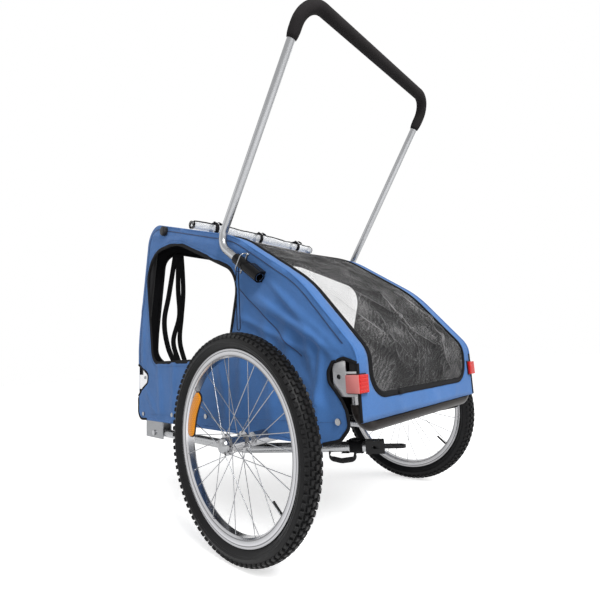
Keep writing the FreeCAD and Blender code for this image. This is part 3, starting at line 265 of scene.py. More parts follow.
def net_material(pitch):
    # an open knitted net: threads with see-through gaps between them
    mat, tree, shader = new_material("knitted_net", (0.085, 0.082, 0.080), 0.7)
    weave = node(tree, "ShaderNodeTexCoord").outputs["UV"]
    rows, lines = (bands_of(tree, weave, BAND / pitch, axis, 0.6) for axis in "XY")
    threads = math_of(tree, "MAXIMUM", rows, lines)
    tree.links.new(math_of(tree, "GREATER_THAN", threads, 0.938), shader.inputs["Alpha"])
    # slow changes of tone, the ripples of one layer over another and painted sheen glints on single threads
    slow = noise_of(tree, coords(tree), 13.0, 5.0)
    ripples = bands_of(tree, weave, 42.0, "DIAGONAL", 9.0)
    sheen_glints = noise_of(tree, coords(tree), 330.0, 2.0)
    tone = plus(tree, times(tree, slow, 0.62), times(tree, ripples, 0.10))
    tone = plus(tree, tone, times(tree, sheen_glints, 0.28))
    # the pale top of the ramp is painted sheen on the threads
    stops = [(0.36, (0.030, 0.030, 0.031)), (0.50, (0.105, 0.104, 0.106)), (0.64, (0.42, 0.415, 0.42))]
    tint(tree, shader, tone, stops)
    bump_of(tree, shader, threads, 0.4, 0.0006)
    dial(shader, {"Sheen Weight": 0.1})
    return mat


def film_material():
    # clear sheet: mostly see-through, with bright gloss and a faint milkiness along its creases
    mat, tree, shader = new_material("clear_film", (0.90, 0.92, 0.94), 0.08)
    milky = noise_of(tree, coords(tree, (30.0, 6.0, 30.0)), 1.0, 4.0)
    tree.links.new(plus(tree, times(tree, milky, 0.40), 0.06), shader.inputs["Alpha"])
    bump_of(tree, shader, milky, 0.5, 0.003)
    dial(shader, {"Specular IOR Level": 0.7})
    return mat


BLUE = (0.050, 0.155, 0.400)
BLACK = (0.008, 0.008, 0.009)
BLUE_SIDE = cloth("blue_polyester_side", BLUE, 0.0011)
BLUE_TOP = cloth("blue_polyester_top", BLUE, 0.0011, plane="XY")
BLUE_REAR = cloth("blue_polyester_rear", BLUE, 0.0011, plane="YZ")
LINING = cloth("black_lining", (0.007, 0.007, 0.008), 0.0012, 0.9, 0.0, gloss=0.1)
TAPE = cloth("black_tape", BLACK, 0.0016, 0.75, 0.0, 0.25, gloss=0.12)
THREAD = cloth("blue_thread", (0.014, 0.040, 0.115), 0.0006, 0.6)
MAT_CLOTH = cloth("mat_cloth", (0.014, 0.014, 0.016), 0.0014, 0.8, 0.0, 0.3, "XY", 0.12)
STEEL = metal("zinc_steel", (0.38, 0.385, 0.40), 0.28)
# painted highlight: a pale copy of the bracket steel for the corner brackets, which shine white in the light;
# the tow bracket has a darker copy
PRESSED_HIGHLIGHT = metal("pressed_steel", (0.76, 0.76, 0.77), 0.40, (140.0, 140.0, 500.0))
ALLOY = metal("brushed_alloy", (0.36, 0.36, 0.37), 0.2, (30.0, 200.0, 30.0))
BRACKET = metal("bracket_steel", (0.25, 0.255, 0.265), 0.34, (140.0, 140.0, 500.0))
SPOKE = metal("spoke_steel", (0.30, 0.305, 0.315), 0.22)
# painted highlight bands and thin dark bands of painted groove shade on the rim, by distance from the axle
RIM_LIGHT_BANDS = ((0.1920, 0.44), (0.1945, 0.56), (0.1955, 0.14), (0.1968, 0.14), (0.1978, 0.34), (0.2050, 0.50),
             (0.2062, 0.16), (0.2074, 0.16), (0.2084, 0.42), (0.2120, 0.30))
AXLE = (0.198, 0.250)
RIM = ringed_metal("rim_painted_highlight_bands", 0.2, AXLE, [(r, (k, k, k * 1.03)) for r, k in RIM_LIGHT_BANDS])
TUBE_SILVER = metal("anodised_tube", (0.335, 0.34, 0.35), 0.28, (6.0, 6.0, 6.0), 0.06)
PLASTIC = plastic("moulded_black", BLACK, 0.34)
COATED = plastic("black_coated_steel", (0.010, 0.010, 0.011), 0.5)
GLOSSY = plastic("glossy_black", (0.004, 0.004, 0.0045), 0.18, 300.0, 0.0001, 0.15, 0.07)
KNOB = plastic("knob_black", (0.012, 0.012, 0.013), 0.45)
VINYL = plastic("bumper_vinyl", (0.013, 0.010, 0.009), 0.30, 500.0, 0.0003, 0.2, 0.1)
FOAM = plastic("foam_grip", (0.013, 0.0115, 0.012), 0.86, 1300.0, 0.0009, 0.25, 0.15)
RUBBER = plastic("tyre_rubber", (0.0065, 0.0065, 0.007), 0.45, 700.0, 0.0004, 0.3, 0.15)
TUBE_RUBBER = plastic("tube_rubber", (0.020, 0.020, 0.020), 0.6)
BOARD = plastic("floor_board", (0.03, 0.03, 0.032), 0.55)
RED = lens("red_lens", (0.58, 0.016, 0.014), 0.004, 0.2)
PINK = lens("pale_red_lens", (0.62, 0.20, 0.19), 0.003, 0.08)
ORANGE = lens("orange_lens", (0.78, 0.27, 0.002), 0.0045, 0.22)
NET = net_material(0.0021)
FILM = film_material()


# Mesh helpers
def piece(name, verts, faces, mats, body, replaces=(), kinds=None):
    mesh = bpy.data.meshes.new(name)
    mesh.from_pydata([tuple(v) for v in verts], [], faces)
    mesh.update()
    obj = bpy.data.objects.new(name, mesh)
    scene.collection.objects.link(obj)
    for mat in mats if isinstance(mats, list) else [mats]:
        mesh.materials.append(mat)
    if kinds:
        mesh.polygons.foreach_set("material_index", kinds)
    mesh.polygons.foreach_set("use_smooth", [True] * len(mesh.polygons))
    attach(obj, body)
    if replaces:
        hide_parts(*replaces)
    return obj


class Pile:
    """Collects the faces of several small forms into one mesh."""

    def __init__(self):
        self.verts = []
        self.faces = []
        self.kinds = []

    def add(self, verts, faces, kind=0):
        start = len(self.verts)
        self.verts += [tuple(v) for v in verts]
        self.faces += [tuple(start + i for i in f) for f in faces]
        self.kinds += [kind] * len(faces)

    def make(self, name, mats, body, replaces=()):
        return piece(name, self.verts, self.faces, mats, body, replaces, self.kinds)


def sharp(obj, degrees):
    # keeps the crisp edges of a hard piece while its rounds stay smooth
    limit = math.cos(math.radians(degrees))
    mesh = obj.data
    faces = {}
    for poly in mesh.polygons:
        for key in poly.edge_keys:
            faces.setdefault(key, []).append(poly.normal)
    for edge in mesh.edges:
        pair = faces.get(edge.key, [])
        edge.use_edge_sharp = len(pair) == 2 and pair[0].dot(pair[1]) < limit


def rounded(points, radii, closed=False, step=0.006):
    # a polyline with its corners turned into arcs; works for points of 2 or 3 numbers
    pts = [Vector(p) for p in points]
    n = len(pts)
    out = []
    for i, p in enumerate(pts):
        inner = closed or 0 < i < n - 1
        r = radii[i if closed else i - 1] if inner else 0.0
        if not inner or r <= 0.0:
            out.append(p)
            continue
        a = (pts[i - 1] - p).normalized()
        b = (pts[(i + 1) % n] - p).normalized()
        angle = a.angle(b)
        cut = r / math.tan(angle / 2)
        centre = p + (a + b).normalized() * (r / math.sin(angle / 2))
        start = p + a * cut - centre
        end = p + b * cut - centre
        turn = math.pi - angle
        count = max(2, int(r * turn / step) + 1)
        for k in range(count + 1):
            share = k / count
            w0 = math.sin((1 - share) * turn) / math.sin(turn)
            w1 = math.sin(share * turn) / math.sin(turn)
            out.append(centre + start * w0 + end * w1)
    return out


def divided(points, step, closed=False):
    out = []
    n = len(points)
    for i in range(n if closed else n - 1):
        a = points[i]
        b = points[(i + 1) % n]
        count = max(1, int((b - a).length / step + 0.5))
        out += [a.lerp(b, k / count) for k in range(count)]
    if not closed:
        out.append(points[-1])
    return out


class Path:
    """A rounded line in the XZ plane, read by distance along it."""

    def __init__(self, points, radii):
        self.points = divided(rounded(points, radii, step=0.003), 0.02)
        self.at_length = [0.0]
        for a, b in zip(self.points, self.points[1:]):
            self.at_length.append(self.at_length[-1] + (b - a).length)
        self.length = self.at_length[-1]

    def at(self, s):
        s = min(max(s, 0.0), self.length)
        low = min(bisect.bisect_right(self.at_length, s) - 1, len(self.points) - 2)
        a, b = self.points[low], self.points[low + 1]
        p = a.lerp(b, (s - self.at_length[low]) / (self.at_length[low + 1] - self.at_length[low]))
        way = (b - a).normalized()
        return p, Vector((-way.y, way.x))

    def spot(self, s, y, out=0.0):
        p, normal = self.at(s)
        return Vector((p.x + normal.x * out, y, p.y + normal.y * out))


FRONT_PATH = Path([P_FRONT, P_KNEE, P_CROWN, ROOF_START], ROUNDS[:2])
ROOF_PATH = Path([ROOF_START, DOOR_TOP], ())
REAR_PATH = Path([DOOR_TOP, P_RIDGE, P_SLOPE, P_REAR, P_REAR_HEM], ROUNDS[2:])


def inside(p, loop):
    found = False
    j = len(loop) - 1
    for i in range(len(loop)):
        a, b = loop[i], loop[j]
        if (a.y > p.y) != (b.y > p.y) and p.x < (b.x - a.x) * (p.y - a.y) / (b.y - a.y) + a.x:
            found = not found
        j = i
    return found


def region(outer, holes, step):
    # fills a flat outline with even triangles
    loops = [divided(loop, step, True) for loop in [outer] + list(holes)]
    coords_2d = []
    edges = []
    for loop in loops:
        start = len(coords_2d)
        coords_2d += [p.to_2d() for p in loop]
        edges += [(start + i, start + (i + 1) % len(loop)) for i in range(len(loop))]
    tree = KDTree(len(coords_2d))
    for i, p in enumerate(coords_2d):
        tree.insert((p.x, p.y, 0.0), i)
    tree.balance()
    low = Vector((min(p.x for p in loops[0]), min(p.y for p in loops[0])))
    high = Vector((max(p.x for p in loops[0]), max(p.y for p in loops[0])))
    rows = int((high.y - low.y) / (step * 0.866)) + 1
    columns = int((high.x - low.x) / step) + 2
    for j in range(rows):
        for i in range(columns):
            p = Vector((low.x + (i + 0.5 * (j % 2)) * step, low.y + j * step * 0.866))
            if tree.find((p.x, p.y, 0.0))[2] < 0.6 * step or not inside(p, loops[0]):
                continue
            if any(inside(p, hole) for hole in loops[1:]):
                continue
            coords_2d.append(p)
    verts, _, faces, _, _, _ = delaunay_2d_cdt(coords_2d, edges, [], 0, 1e-6)
    kept = []
    for f in faces:
        middle = (verts[f[0]] + verts[f[1]] + verts[f[2]]) / 3
        if inside(middle, loops[0]) and not any(inside(middle, hole) for hole in loops[1:]):
            kept.append(tuple(f))
    used = sorted({i for f in kept for i in f})
    renamed = {old: new for new, old in enumerate(used)}
    return [verts[i] for i in used], [tuple(renamed[i] for i in f) for f in kept]


def area_of(verts, faces):
    total = 0.0
    for a, b, c in faces:
        total += abs((verts[b] - verts[a]).cross(verts[c] - verts[a])) / 2
    return total


def sewn(name, verts, faces, out_way, mats, body, replaces, wall):
    # cloth with its outer face turned out; where it has a wall, the lining is inside
    a, b, c = (Vector(verts[i]) for i in faces[0])
    if (b - a).cross(c - a).dot(out_way) < 0:
        faces = [tuple(reversed(f)) for f in faces]
    obj = piece(name, verts, faces, mats, body, replaces)
    if wall:
        thick = obj.modifiers.new("cloth", "SOLIDIFY")
        thick.thickness = wall
        thick.offset = -1.0
        thick.material_offset = 1
    return obj


def crease(p, a, b, width, height):
    # a soft fold along the line a-b that fades at both ends
    along = b - a
    share = (p - a).dot(along) / along.length_squared
    if share < -0.3 or share > 1.3:
        return 0.0
    off = (p - a - along * share).length
    fade = 1.0
    if share < 0.15:
        fade = math.cos((0.15 - share) / 0.45 * math.pi / 2)
    elif share > 0.85:
        fade = math.cos((share - 0.85) / 0.45 * math.pi / 2)
    return height * fade * math.exp(-((off / width) ** 2))


def creases(p, folds):
    # folds hold the start, the end, the half width and the height of each fold
    return sum(crease(p, Vector(a), Vector(b), width, height) for a, b, width, height in folds)


def ripple(p, scale, seed):
    return noise.noise(Vector((p.x * scale, p.y * scale, seed)))


def ways(pts, closed=False):
    # the direction of a line at each of its points
    n = len(pts)
    if closed:
        return [(pts[(i + 1) % n] - pts[i - 1]).normalized() for i in range(n)]
    return [(pts[min(i + 1, n - 1)] - pts[max(i - 1, 0)]).normalized() for i in range(n)]


def loft(rings, sides, closed=False, wrapped=True):
    # faces between rings of points; closed joins the last ring to the first, wrapped closes each ring
    faces = []
    for i in range(rings if closed else rings - 1):
        j = (i + 1) % rings
        for k in range(sides if wrapped else sides - 1):
            m = (k + 1) % sides
            faces.append((i * sides + k, i * sides + m, j * sides + m, j * sides + k))
    return faces


def caps(rings, sides):
    return [tuple(range(sides))[::-1], tuple((rings - 1) * sides + k for k in range(sides))]


def tube(points, radius, closed, sides, flat=1.0, up=None, taper=()):
    # a round or flattened tube along points; up keeps a flat tube's broad face steady
    pts = [Vector(p) for p in points]
    verts = []
    side = None
    for i, (p, way) in enumerate(zip(pts, ways(pts, closed))):
        if up is not None:
            side = way.cross(up).normalized()
        elif side is None:
            side = way.orthogonal().normalized()
        else:
            side = (side - way * side.dot(way)).normalized()
        top = side.cross(way)
        r = radius * (taper[i] if taper else 1.0)
        for k in range(sides):
            turn = 2 * math.pi * k / sides
            verts.append(p + side * (r * math.cos(turn)) + top * (r * flat * math.sin(turn)))
    faces = loft(len(pts), sides, closed)
    return verts, faces if closed else faces + caps(len(pts), sides)


WEBBING = ((-1, -0.5), (-0.94, -1), (0.94, -1), (1, -0.5), (1, 0.5), (0.94, 1), (-0.94, 1), (-1, 0.5))


def strap(points, width, wall, across):
    # flat webbing: a thin band along points, broad along across
    pts = [Vector(p) for p in points]
    verts = []
    for p, way in zip(pts, ways(pts)):
        broad = (across - way * across.dot(way)).normalized()
        thin = way.cross(broad)
        verts += [p + broad * (u * width / 2) + thin * (v * wall / 2) for u, v in WEBBING]
    return verts, loft(len(pts), len(WEBBING)) + caps(len(pts), len(WEBBING))


STITCH_PITCH = 0.0045
STITCH = 0.0030
STITCH_R = 0.00035


def stitches(pile, points, out):
    # a row of small raised thread stitches along points; out is the cloth's outward way
    pts = divided(points, STITCH_PITCH)
    for a, b in zip(pts, pts[1:]):
        way = (b - a).normalized()
        bow = ((-0.5, 0), (-0.25, 1), (0.25, 1), (0.5, 0))
        line = [(a + b) / 2 + way * (STITCH * u) + out * (STITCH_R * v) for u, v in bow]
        pile.add(*tube(line, STITCH_R, False, 5, taper=(0.6, 1.0, 1.0, 0.6)))


def around_y(centre, r, angle, y):
    # a place on a circle about a line along Y; centre holds the line's x and z
    return (centre[0] + r * math.cos(angle), y, centre[1] + r * math.sin(angle))


def lathe(profile, centre, middle, turns):
    # turns a profile of (radius, y) about a line along Y
    angles = [2 * math.pi * k / turns for k in range(turns)]
    verts = [around_y(centre, r, angle, middle + y) for angle in angles for r, y in profile]
    return verts, loft(turns, len(profile), True, False)


def soft_box(low, high, bevel, rows=2):
    # a box with rounded edges, as verts and faces
    bm = bmesh.new()
    bmesh.ops.create_cube(bm, size=1.0)
    low, high = Vector(low), Vector(high)
    for v in bm.verts:
        v.co = Vector((low[i] + (high[i] - low[i]) * (v.co[i] + 0.5) for i in range(3)))
    bmesh.ops.bevel(bm, geom=list(bm.edges), offset=bevel, segments=rows, profile=0.5, affect="EDGES")
    bm.verts.index_update()
    verts = [v.co.copy() for v in bm.verts]
    faces = [tuple(v.index for v in f.verts) for f in bm.faces]
    bm.free()
    return verts, faces


# Tether cords of the snap pins, hanging in narrow loops from the sleeves
CORD_R = 0.0011
CORD_GAP = 0.0065
CORD_DROP = 0.172
cord_start = PIN_DOWN - 4 * CORD_GAP
for side, s in SIDES:
    y = s * SLEEVE_Y
    top_x = SLEEVE_TOP[0] + DOWN[0] * cord_start - ACROSS[0] * SLEEVE_R
    top_z = SLEEVE_TOP[1] + DOWN[1] * cord_start - ACROSS[1] * SLEEVE_R
    low_z = top_z - CORD_DROP
    left_z = top_z - CORD_GAP * ACROSS[1] / ACROSS[0]
    right_z = top_z + (CORD_GAP + CORD_R) * DOWN[1] / DOWN[0]
    route = [
        (top_x, y, top_z),
        (top_x - CORD_GAP, y, left_z),
        (top_x - CORD_GAP, y, low_z + 2 * CORD_GAP),
        (top_x - CORD_GAP, y, low_z),
        (top_x + CORD_GAP, y, low_z),
        (top_x + CORD_GAP, y, low_z + 2 * CORD_GAP),
        (top_x + CORD_GAP, y, right_z),
    ]
    curve = bpy.data.curves.new(side + "_tether_cord", "CURVE")
    curve.dimensions = "3D"
    line = curve.splines.new("NURBS")
    line.points.add(len(route) - 1)
    for point, spot in zip(line.points, route):
        point.co = (*spot, 1.0)
    line.order_u = 3
    line.use_endpoint_u = True
    line.resolution_u = 16
    curve.bevel_depth = CORD_R
    curve.bevel_resolution = 3
    curve.materials.append(TAPE)
    cord = bpy.data.objects.new(side + "_tether_cord", curve)
    scene.collection.objects.link(cord)
    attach(cord, "chassis")
    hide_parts(side + "_tether")

# Side panels: cloth stretched on the hoops, with a bound window and bound corner cut-outs
WINDOW = [(-0.386, 0.438), (-0.438, 0.834), (-0.212, 0.832), (0.120, 0.669), (0.054, 0.438)]
WINDOW_ROUNDS = (0.048, 0.105, 0.240, 0.080, 0.048)
REAR_CUT = [
    (REAR, 0.416), (0.455, 0.427), (0.424, 0.421), (0.411, 0.400), (0.412, 0.379), (0.428, 0.362),
    (0.444, 0.342), (0.454, 0.322), (0.4585, 0.290), (0.432, 0.262), (0.385, 0.2500),
]
FRONT_CUT = [
    (-HALF, 0.436), (-0.452, 0.418), (-0.418, 0.400), (-0.424, 0.372), (-0.462, 0.352), (-HALF, 0.326),
]
FOLDS = [
    ((-0.34, 0.41), (-0.33, 0.28), 0.018, 0.005),
    ((-0.24, 0.42), (-0.25, 0.27), 0.015, 0.004),
    ((-0.13, 0.42), (-0.11, 0.28), 0.020, 0.006),
    ((-0.42, 0.33), (-0.36, 0.27), 0.012, 0.004),
    ((0.02, 0.42), (0.05, 0.29), 0.018, 0.006),
    ((0.13, 0.56), (0.11, 0.32), 0.022, 0.007),
    ((0.22, 0.50), (0.23, 0.31), 0.020, 0.007),
    ((0.29, 0.48), (0.32, 0.31), 0.018, 0.007),
    ((0.36, 0.46), (0.385, 0.31), 0.013, 0.006),
    ((0.135, 0.625), (0.345, 0.500), 0.0085, 0.0075),
    ((0.165, 0.590), (0.385, 0.470), 0.0080, 0.0070),
    ((0.150, 0.535), (0.330, 0.455), 0.0075, 0.0060),
    ((0.250, 0.610), (0.415, 0.470), 0.0080, 0.0050),
    ((0.300, 0.560), (0.420, 0.440), 0.0070, 0.0050),
    ((0.395, 0.440), (0.375, 0.300), 0.0075, 0.0065),
    ((-0.46, 0.62), (-0.455, 0.44), 0.014, 0.0035),
    ((-0.36, 0.89), (-0.22, 0.84), 0.012, 0.0035),
    ((-0.16, 0.83), (0.02, 0.765), 0.011, 0.0035),
    ((0.12, 0.730), (0.26, 0.645), 0.010, 0.0035),
    ((0.33, 0.40), (0.39, 0.33), 0.012, 0.0045),
]
KNOB_LOW, KNOB_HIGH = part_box("bar_knobs")
KNOB_AT = ((KNOB_LOW.x + KNOB_HIGH.x) / 2, (KNOB_LOW.z + KNOB_HIGH.z) / 2)


def side_fold(p, seed):
    bulge = creases(p, FOLDS) + 0.0022 * ripple(p, 13, seed) + 0.0009 * ripple(p, 42, seed + 7)
    # the cloth lies flat under the sleeves and the knobs
    for x, z, reach in ((0.18, 0.667, 0.07), (*KNOB_AT, 0.03)):
        away = math.hypot(p.x - x, p.y - z) / reach
        bulge *= min(1.0, max(0.0, away - 0.6))
    return max(-0.0004, bulge)


def on_wall(points, s, out):
    # flat points of a side panel, set beside the panel's plane
    return [Vector((p.x, s * (SIDE + out), p.y)) for p in points]


window_loop = rounded(WINDOW, WINDOW_ROUNDS, True)
rear_cut = rounded(REAR_CUT, (0.008, 0.014, 0.014, 0.014, 0.016, 0.016, 0.016, 0.022, 0.022))
front_cut = rounded(FRONT_CUT, (0.012, 0.014, 0.012, 0.012))
front_foot = rounded([(-HALF, 0.320), (-HALF, 0.2451), (-0.430, 0.2476)], (0.030,))
hem = [rear_cut[-1], front_foot[-1]]
side_top = rounded([P_FRONT, P_KNEE, P_CROWN, P_RIDGE, P_SLOPE, P_REAR, REAR_CUT[0]], ROUNDS)
side_outer = front_foot[:0:-1] + front_cut[::-1] + side_top[1:-1] + rear_cut
SIDE_STEP = 0.0066
side_verts, side_faces = region(side_outer, [window_loop], SIDE_STEP)
PANEL_WALL = 0.0015
for side, s in SIDES:
    verts = [(p.x, s * (SIDE + side_fold(p, s)), p.y) for p in side_verts]
    panel = sewn(side + "_panel_cloth", verts, side_faces, Vector((0, s, 0)), [BLUE_SIDE, LINING],
                 "chassis", [side + "_panel"], PANEL_WALL)

# Black bindings: round each window, each cut-out and the lower front corner, and down the rear edges
bind_pile = Pile()
trim_pile = Pile()
for _, s in SIDES:
    out = Vector((0, s, 0))
    bind_pile.add(*tube(on_wall(divided(window_loop, 0.008, True), s, -0.0008), 0.0062, True, 12, 0.45, out))
    for line in (rear_cut, front_cut, front_foot):
        trim_pile.add(*tube(on_wall(divided(line, 0.006), s, 0.0006), 0.0040, False, 10, 0.55, out))
    line = [(REAR - 0.0006, s * SKIN_HALF, z) for z in (0.301, 0.33, 0.35, 0.37, 0.39, 0.416)]
    trim_pile.add(*tube(line, 0.0034, False, 8))
bind_pile.make("window_binding_tape", TAPE, "chassis", ["window_bindings"])
trim_pile.make("edge_binding_tape", TAPE, "chassis")

# Welts: a blue corded seam where the side panels meet the front, the roof and the rear, and a turned hem
welt_pile = Pile()
for _, s in SIDES:
    line = divided([Vector(FRONT_CUT[0])] + side_top[1:], 0.012)
    welt_pile.add(*tube(on_wall(line, s, -0.0016), 0.0024, False, 8))
    line = divided(hem + front_foot[::-1], 0.01)
    welt_pile.add(*tube(on_wall(line, s, -0.0004), 0.0036, False, 10, 0.6, Vector((0, s, 0))))
welt_pile.make("corner_welts", BLUE_SIDE, "chassis")

# Painted shade: a black sheet inside each rear corner, from the side panel to the floor, standing for the
# shade in that corner
SHADE_SHEET_LINE = [(0.2766, 0.438), (0.2640, 0.428), (0.2465, 0.410), (0.2465, 0.335), (0.2520, 0.314)]
SHADE_SHEET_ENDS = (0.404, 0.474)
shade_sheet_line = rounded(SHADE_SHEET_LINE, (0.008, 0.010, 0.010))
shade_sheet_pile = Pile()
for _, s in SIDES:
    verts = [(x, s * p.x, p.y) for p in shade_sheet_line for x in SHADE_SHEET_ENDS]
    shade_sheet_pile.add(verts, loft(len(shade_sheet_line), len(SHADE_SHEET_ENDS), False, False))
shade_sheets = shade_sheet_pile.make("corner_shade_sheets", LINING, "chassis")
shade_sheets.modifiers.new("thickness", "SOLIDIFY").thickness = 0.0008

# Front, roof and rear skins
ENTRY_HALF = 0.210
ENTRY_LOW = 0.430
ENTRY_TOP = 0.856
ENTRY_ROUND = 0.062


def height_to_length(path, z):
    low, high = 0.0, path.length * 0.86
    for _ in range(40):
        mid = (low + high) / 2
        if path.at(mid)[0].y < z:
            low = mid
        else:
            high = mid
    return low


def skin(name, path, outer, holes, step, bulge, mats, replaces,
         body="chassis", wall=0.0014):
    # cloth that follows a path: flat places are (y, distance along the path)
    flat, faces = region(outer, holes, step)
    verts = [path.spot(p.y, p.x, bulge(p)) for p in flat]
    normal = path.at(flat[faces[0][0]].y)[1]
    obj = sewn(name, verts, faces, Vector((normal.x, 0, normal.y)), mats, body, replaces, wall)
    return obj, flat, area_of(flat, faces)


def oblong(half, low, high):
    return [(-half, low), (-half, high), (half, high), (half, low)]


entry_ends = [height_to_length(FRONT_PATH, z) for z in (ENTRY_LOW, ENTRY_TOP)]
entry_loop = rounded(oblong(ENTRY_HALF, *entry_ends), (ENTRY_ROUND,) * 4, True)
front_outer = rounded(oblong(SKIN_HALF, 0.0, FRONT_PATH.length)[::-1], (0.045, 0.0, 0.0, 0.045), True)
FRONT_FOLDS = [((x, 0.02), (x + 0.02, 0.16), 0.02, 0.004) for x in (-0.15, 0.02, 0.16)]


def front_bulge(p):
    return max(-0.0004, 0.0018 * ripple(p, 12, 3.0) + creases(p, FRONT_FOLDS))


front, _, area = skin("front_panel_cloth", FRONT_PATH, front_outer, [entry_loop], 0.0105, front_bulge,
                      [BLUE_REAR, LINING], ["front_panel"])


def roof_bulge(p):
    # the roof sags a little between the two cross bars
    across = 1 - (p.x / SKIN_HALF) ** 2
    along = max(0.0, math.sin(math.pi * min(1.0, max(0.0, (p.y - 0.05) / 0.34))))
    return -0.003 * across * along + 0.0012 * ripple(p, 15, 11.0)


roof_outer = [Vector(p) for p in oblong(SKIN_HALF, 0.0, ROOF_PATH.length)[::-1]]
roof, _, _ = skin("roof_panel_cloth", ROOF_PATH, roof_outer, [], 0.0115, roof_bulge,
                  [BLUE_TOP, LINING], ["roof_panel"])

SILL = REAR_PATH.length - (SILL_Z - P_REAR_HEM[1])
DOOR_END = SILL - DOOR_GAP
edge = DOOR_HALF + DOOR_GAP
rear_outer = rounded(
    oblong(SKIN_HALF, 0.0, REAR_PATH.length) + oblong(edge, 0.0, SILL)[::-1],
    (0.0, 0.0, 0.0, 0.0, 0.0, DOOR_CORNER + DOOR_GAP, DOOR_CORNER + DOOR_GAP, 0.0), True)
REAR_FOLDS = []
for start_y, end_y in ((-0.15, -0.12), (0.02, 0.05), (0.17, 0.15)):
    REAR_FOLDS.append(((start_y, SILL + 0.004), (end_y, SILL + 0.03), 0.014, 0.002))


def rear_bulge(p):
    return max(-0.0003, 0.0010 * ripple(p, 18, 21.0) + creases(p, REAR_FOLDS))


rear, _, area = skin("rear_panel_cloth", REAR_PATH, rear_outer, [], 0.0085, rear_bulge,
                     [BLUE_REAR, LINING], ["rear_panel", "door_borders"])


# Rear door: a slack net inside a zipped tape
def door_loop(inset, top_round):
    corners = oblong(DOOR_HALF - inset, DOOR_GAP + inset, DOOR_END - inset)
    return rounded(corners, (top_round, DOOR_CORNER - inset, DOOR_CORNER - inset, top_round), True)


NET_FOLDS = [
    ((0.19, 0.66), (0.05, 0.735), 0.0085, 0.0085),
    ((0.20, 0.60), (0.10, 0.72), 0.0080, 0.0080),
    ((0.13, 0.77), (0.02, 0.66), 0.0075, 0.0080),
    ((-0.16, 0.77), (-0.08, 0.62), 0.0090, 0.0085),
    ((-0.05, 0.79), (0.00, 0.64), 0.0080, 0.0080),
    ((0.08, 0.79), (0.14, 0.66), 0.0075, 0.0085),
    ((0.21, 0.46), (0.04, 0.50), 0.0100, 0.0075),
    ((0.04, 0.52), (0.02, 0.66), 0.0070, 0.0085),
    ((-0.20, 0.56), (-0.10, 0.71), 0.0085, 0.0070),
    ((0.16, 0.51), (0.21, 0.66), 0.0080, 0.0080),
    ((-0.19, 0.70), (-0.06, 0.78), 0.0080, 0.0070),
    ((-0.02, 0.36), (0.16, 0.31), 0.0120, 0.0050),
    ((-0.12, 0.08), (0.14, 0.06), 0.0120, 0.0040),
    ((-0.10, 0.50), (0.02, 0.60), 0.0080, 0.0060),
]
NET_SAG = 0.004
NET_HALF = 0.23
NET_FADE = 0.03


def net_bulge(p):
    # the net sags in the middle, is creased and lies flat beside the zip
    across = max(0.0, 1 - (p.x / NET_HALF) ** 2)
    slack = -NET_SAG * across * math.sin(math.pi * min(1.0, p.y / DOOR_END))
    slack += creases(p, NET_FOLDS) + 0.002 * ripple(p, 22, 31.0)
    edge_near = min(NET_HALF - abs(p.x), p.y - ZIP, DOOR_END - ZIP - p.y)
    return slack * min(1.0, max(0.0, edge_near / NET_FADE)) - 0.0004


net, flat, _ = skin("door_net_cloth", REAR_PATH, door_loop(ZIP, 0.0), [], 0.0062, net_bulge,
                    [NET], ["door_net"], "rear_door", 0.0)
uv = net.data.uv_layers.new(name="weave")
for corner in net.data.loops:
    uv.data[corner.index].uv = flat[corner.vertex_index]

# The zip's flat tape, its coil and its inner edge
zip_loop = divided(door_loop(ZIP / 2, 0.006), 0.006, True)
ZIP_LINES = (
    # distance towards the middle of the door, half width and share of it in height
    (0.0, 0.0058, 0.30),
    (-0.0012, 0.0042, 0.85),
    (0.0044, 0.0016, 0.9),
)
ZIP_SIDES = 10
zip_pile = Pile()
for inward, radius, flat_share in ZIP_LINES:
    ring = []
    for p, way in zip(zip_loop, ways(zip_loop, True)):
        q = p + Vector((way.y, -way.x)) * -inward
        ring.append(REAR_PATH.spot(q.y, q.x, 0.0002))
    verts = []
    for p, way, flat_place in zip(ring, ways(ring, True), zip_loop):
        normal = REAR_PATH.at(flat_place.y)[1]
        lift = Vector((normal.x, 0, normal.y))
        broad = way.cross(lift).normalized()
        for k in range(ZIP_SIDES):
            turn = 2 * math.pi * k / ZIP_SIDES
            rise = lift * (radius * flat_share * math.sin(turn))
            verts.append(p + broad * (radius * math.cos(turn)) + rise)
    zip_pile.add(verts, loft(len(ring), ZIP_SIDES, True))
# zip pull on the near foot of the door
pull = REAR_PATH.spot(DOOR_END - 0.006, -0.13, 0.004)
pull_half = Vector((0.002, 0.009, 0.004))
zip_pile.add(*soft_box(pull - pull_half, pull + pull_half, 0.0015))
zip_pile.make("door_zip_tape", TAPE, "rear_door", ["door_zip"])

# Stitching along the seams, in matching thread
EDGE_SEAM = rounded(
    [(-0.482, 0.442), (-0.482, 0.52), (-0.391, 0.927), (0.096, 0.762), (0.331, 0.602), (0.455, 0.457)],
    (0.486, 0.06, 0.366, 0.366))
DIAGONAL_SEAM = [Vector((0.116, 0.626)), Vector((0.235, 0.523)), Vector((0.337, 0.436))]
HEM_SEAM = [Vector((-0.400, 0.2655)), Vector((0.440, 0.298))]
window_edge = divided(window_loop, 0.01, True)
window_seam = [p + Vector((-w.y, w.x)) * 0.0125 for p, w in zip(window_edge, ways(window_edge, True))]


def on_folds(points, s):
    # flat points of a side panel, set just proud of its folded cloth
    return [Vector((p.x, s * (SIDE + side_fold(p, s) + 0.0003), p.y)) for p in points]


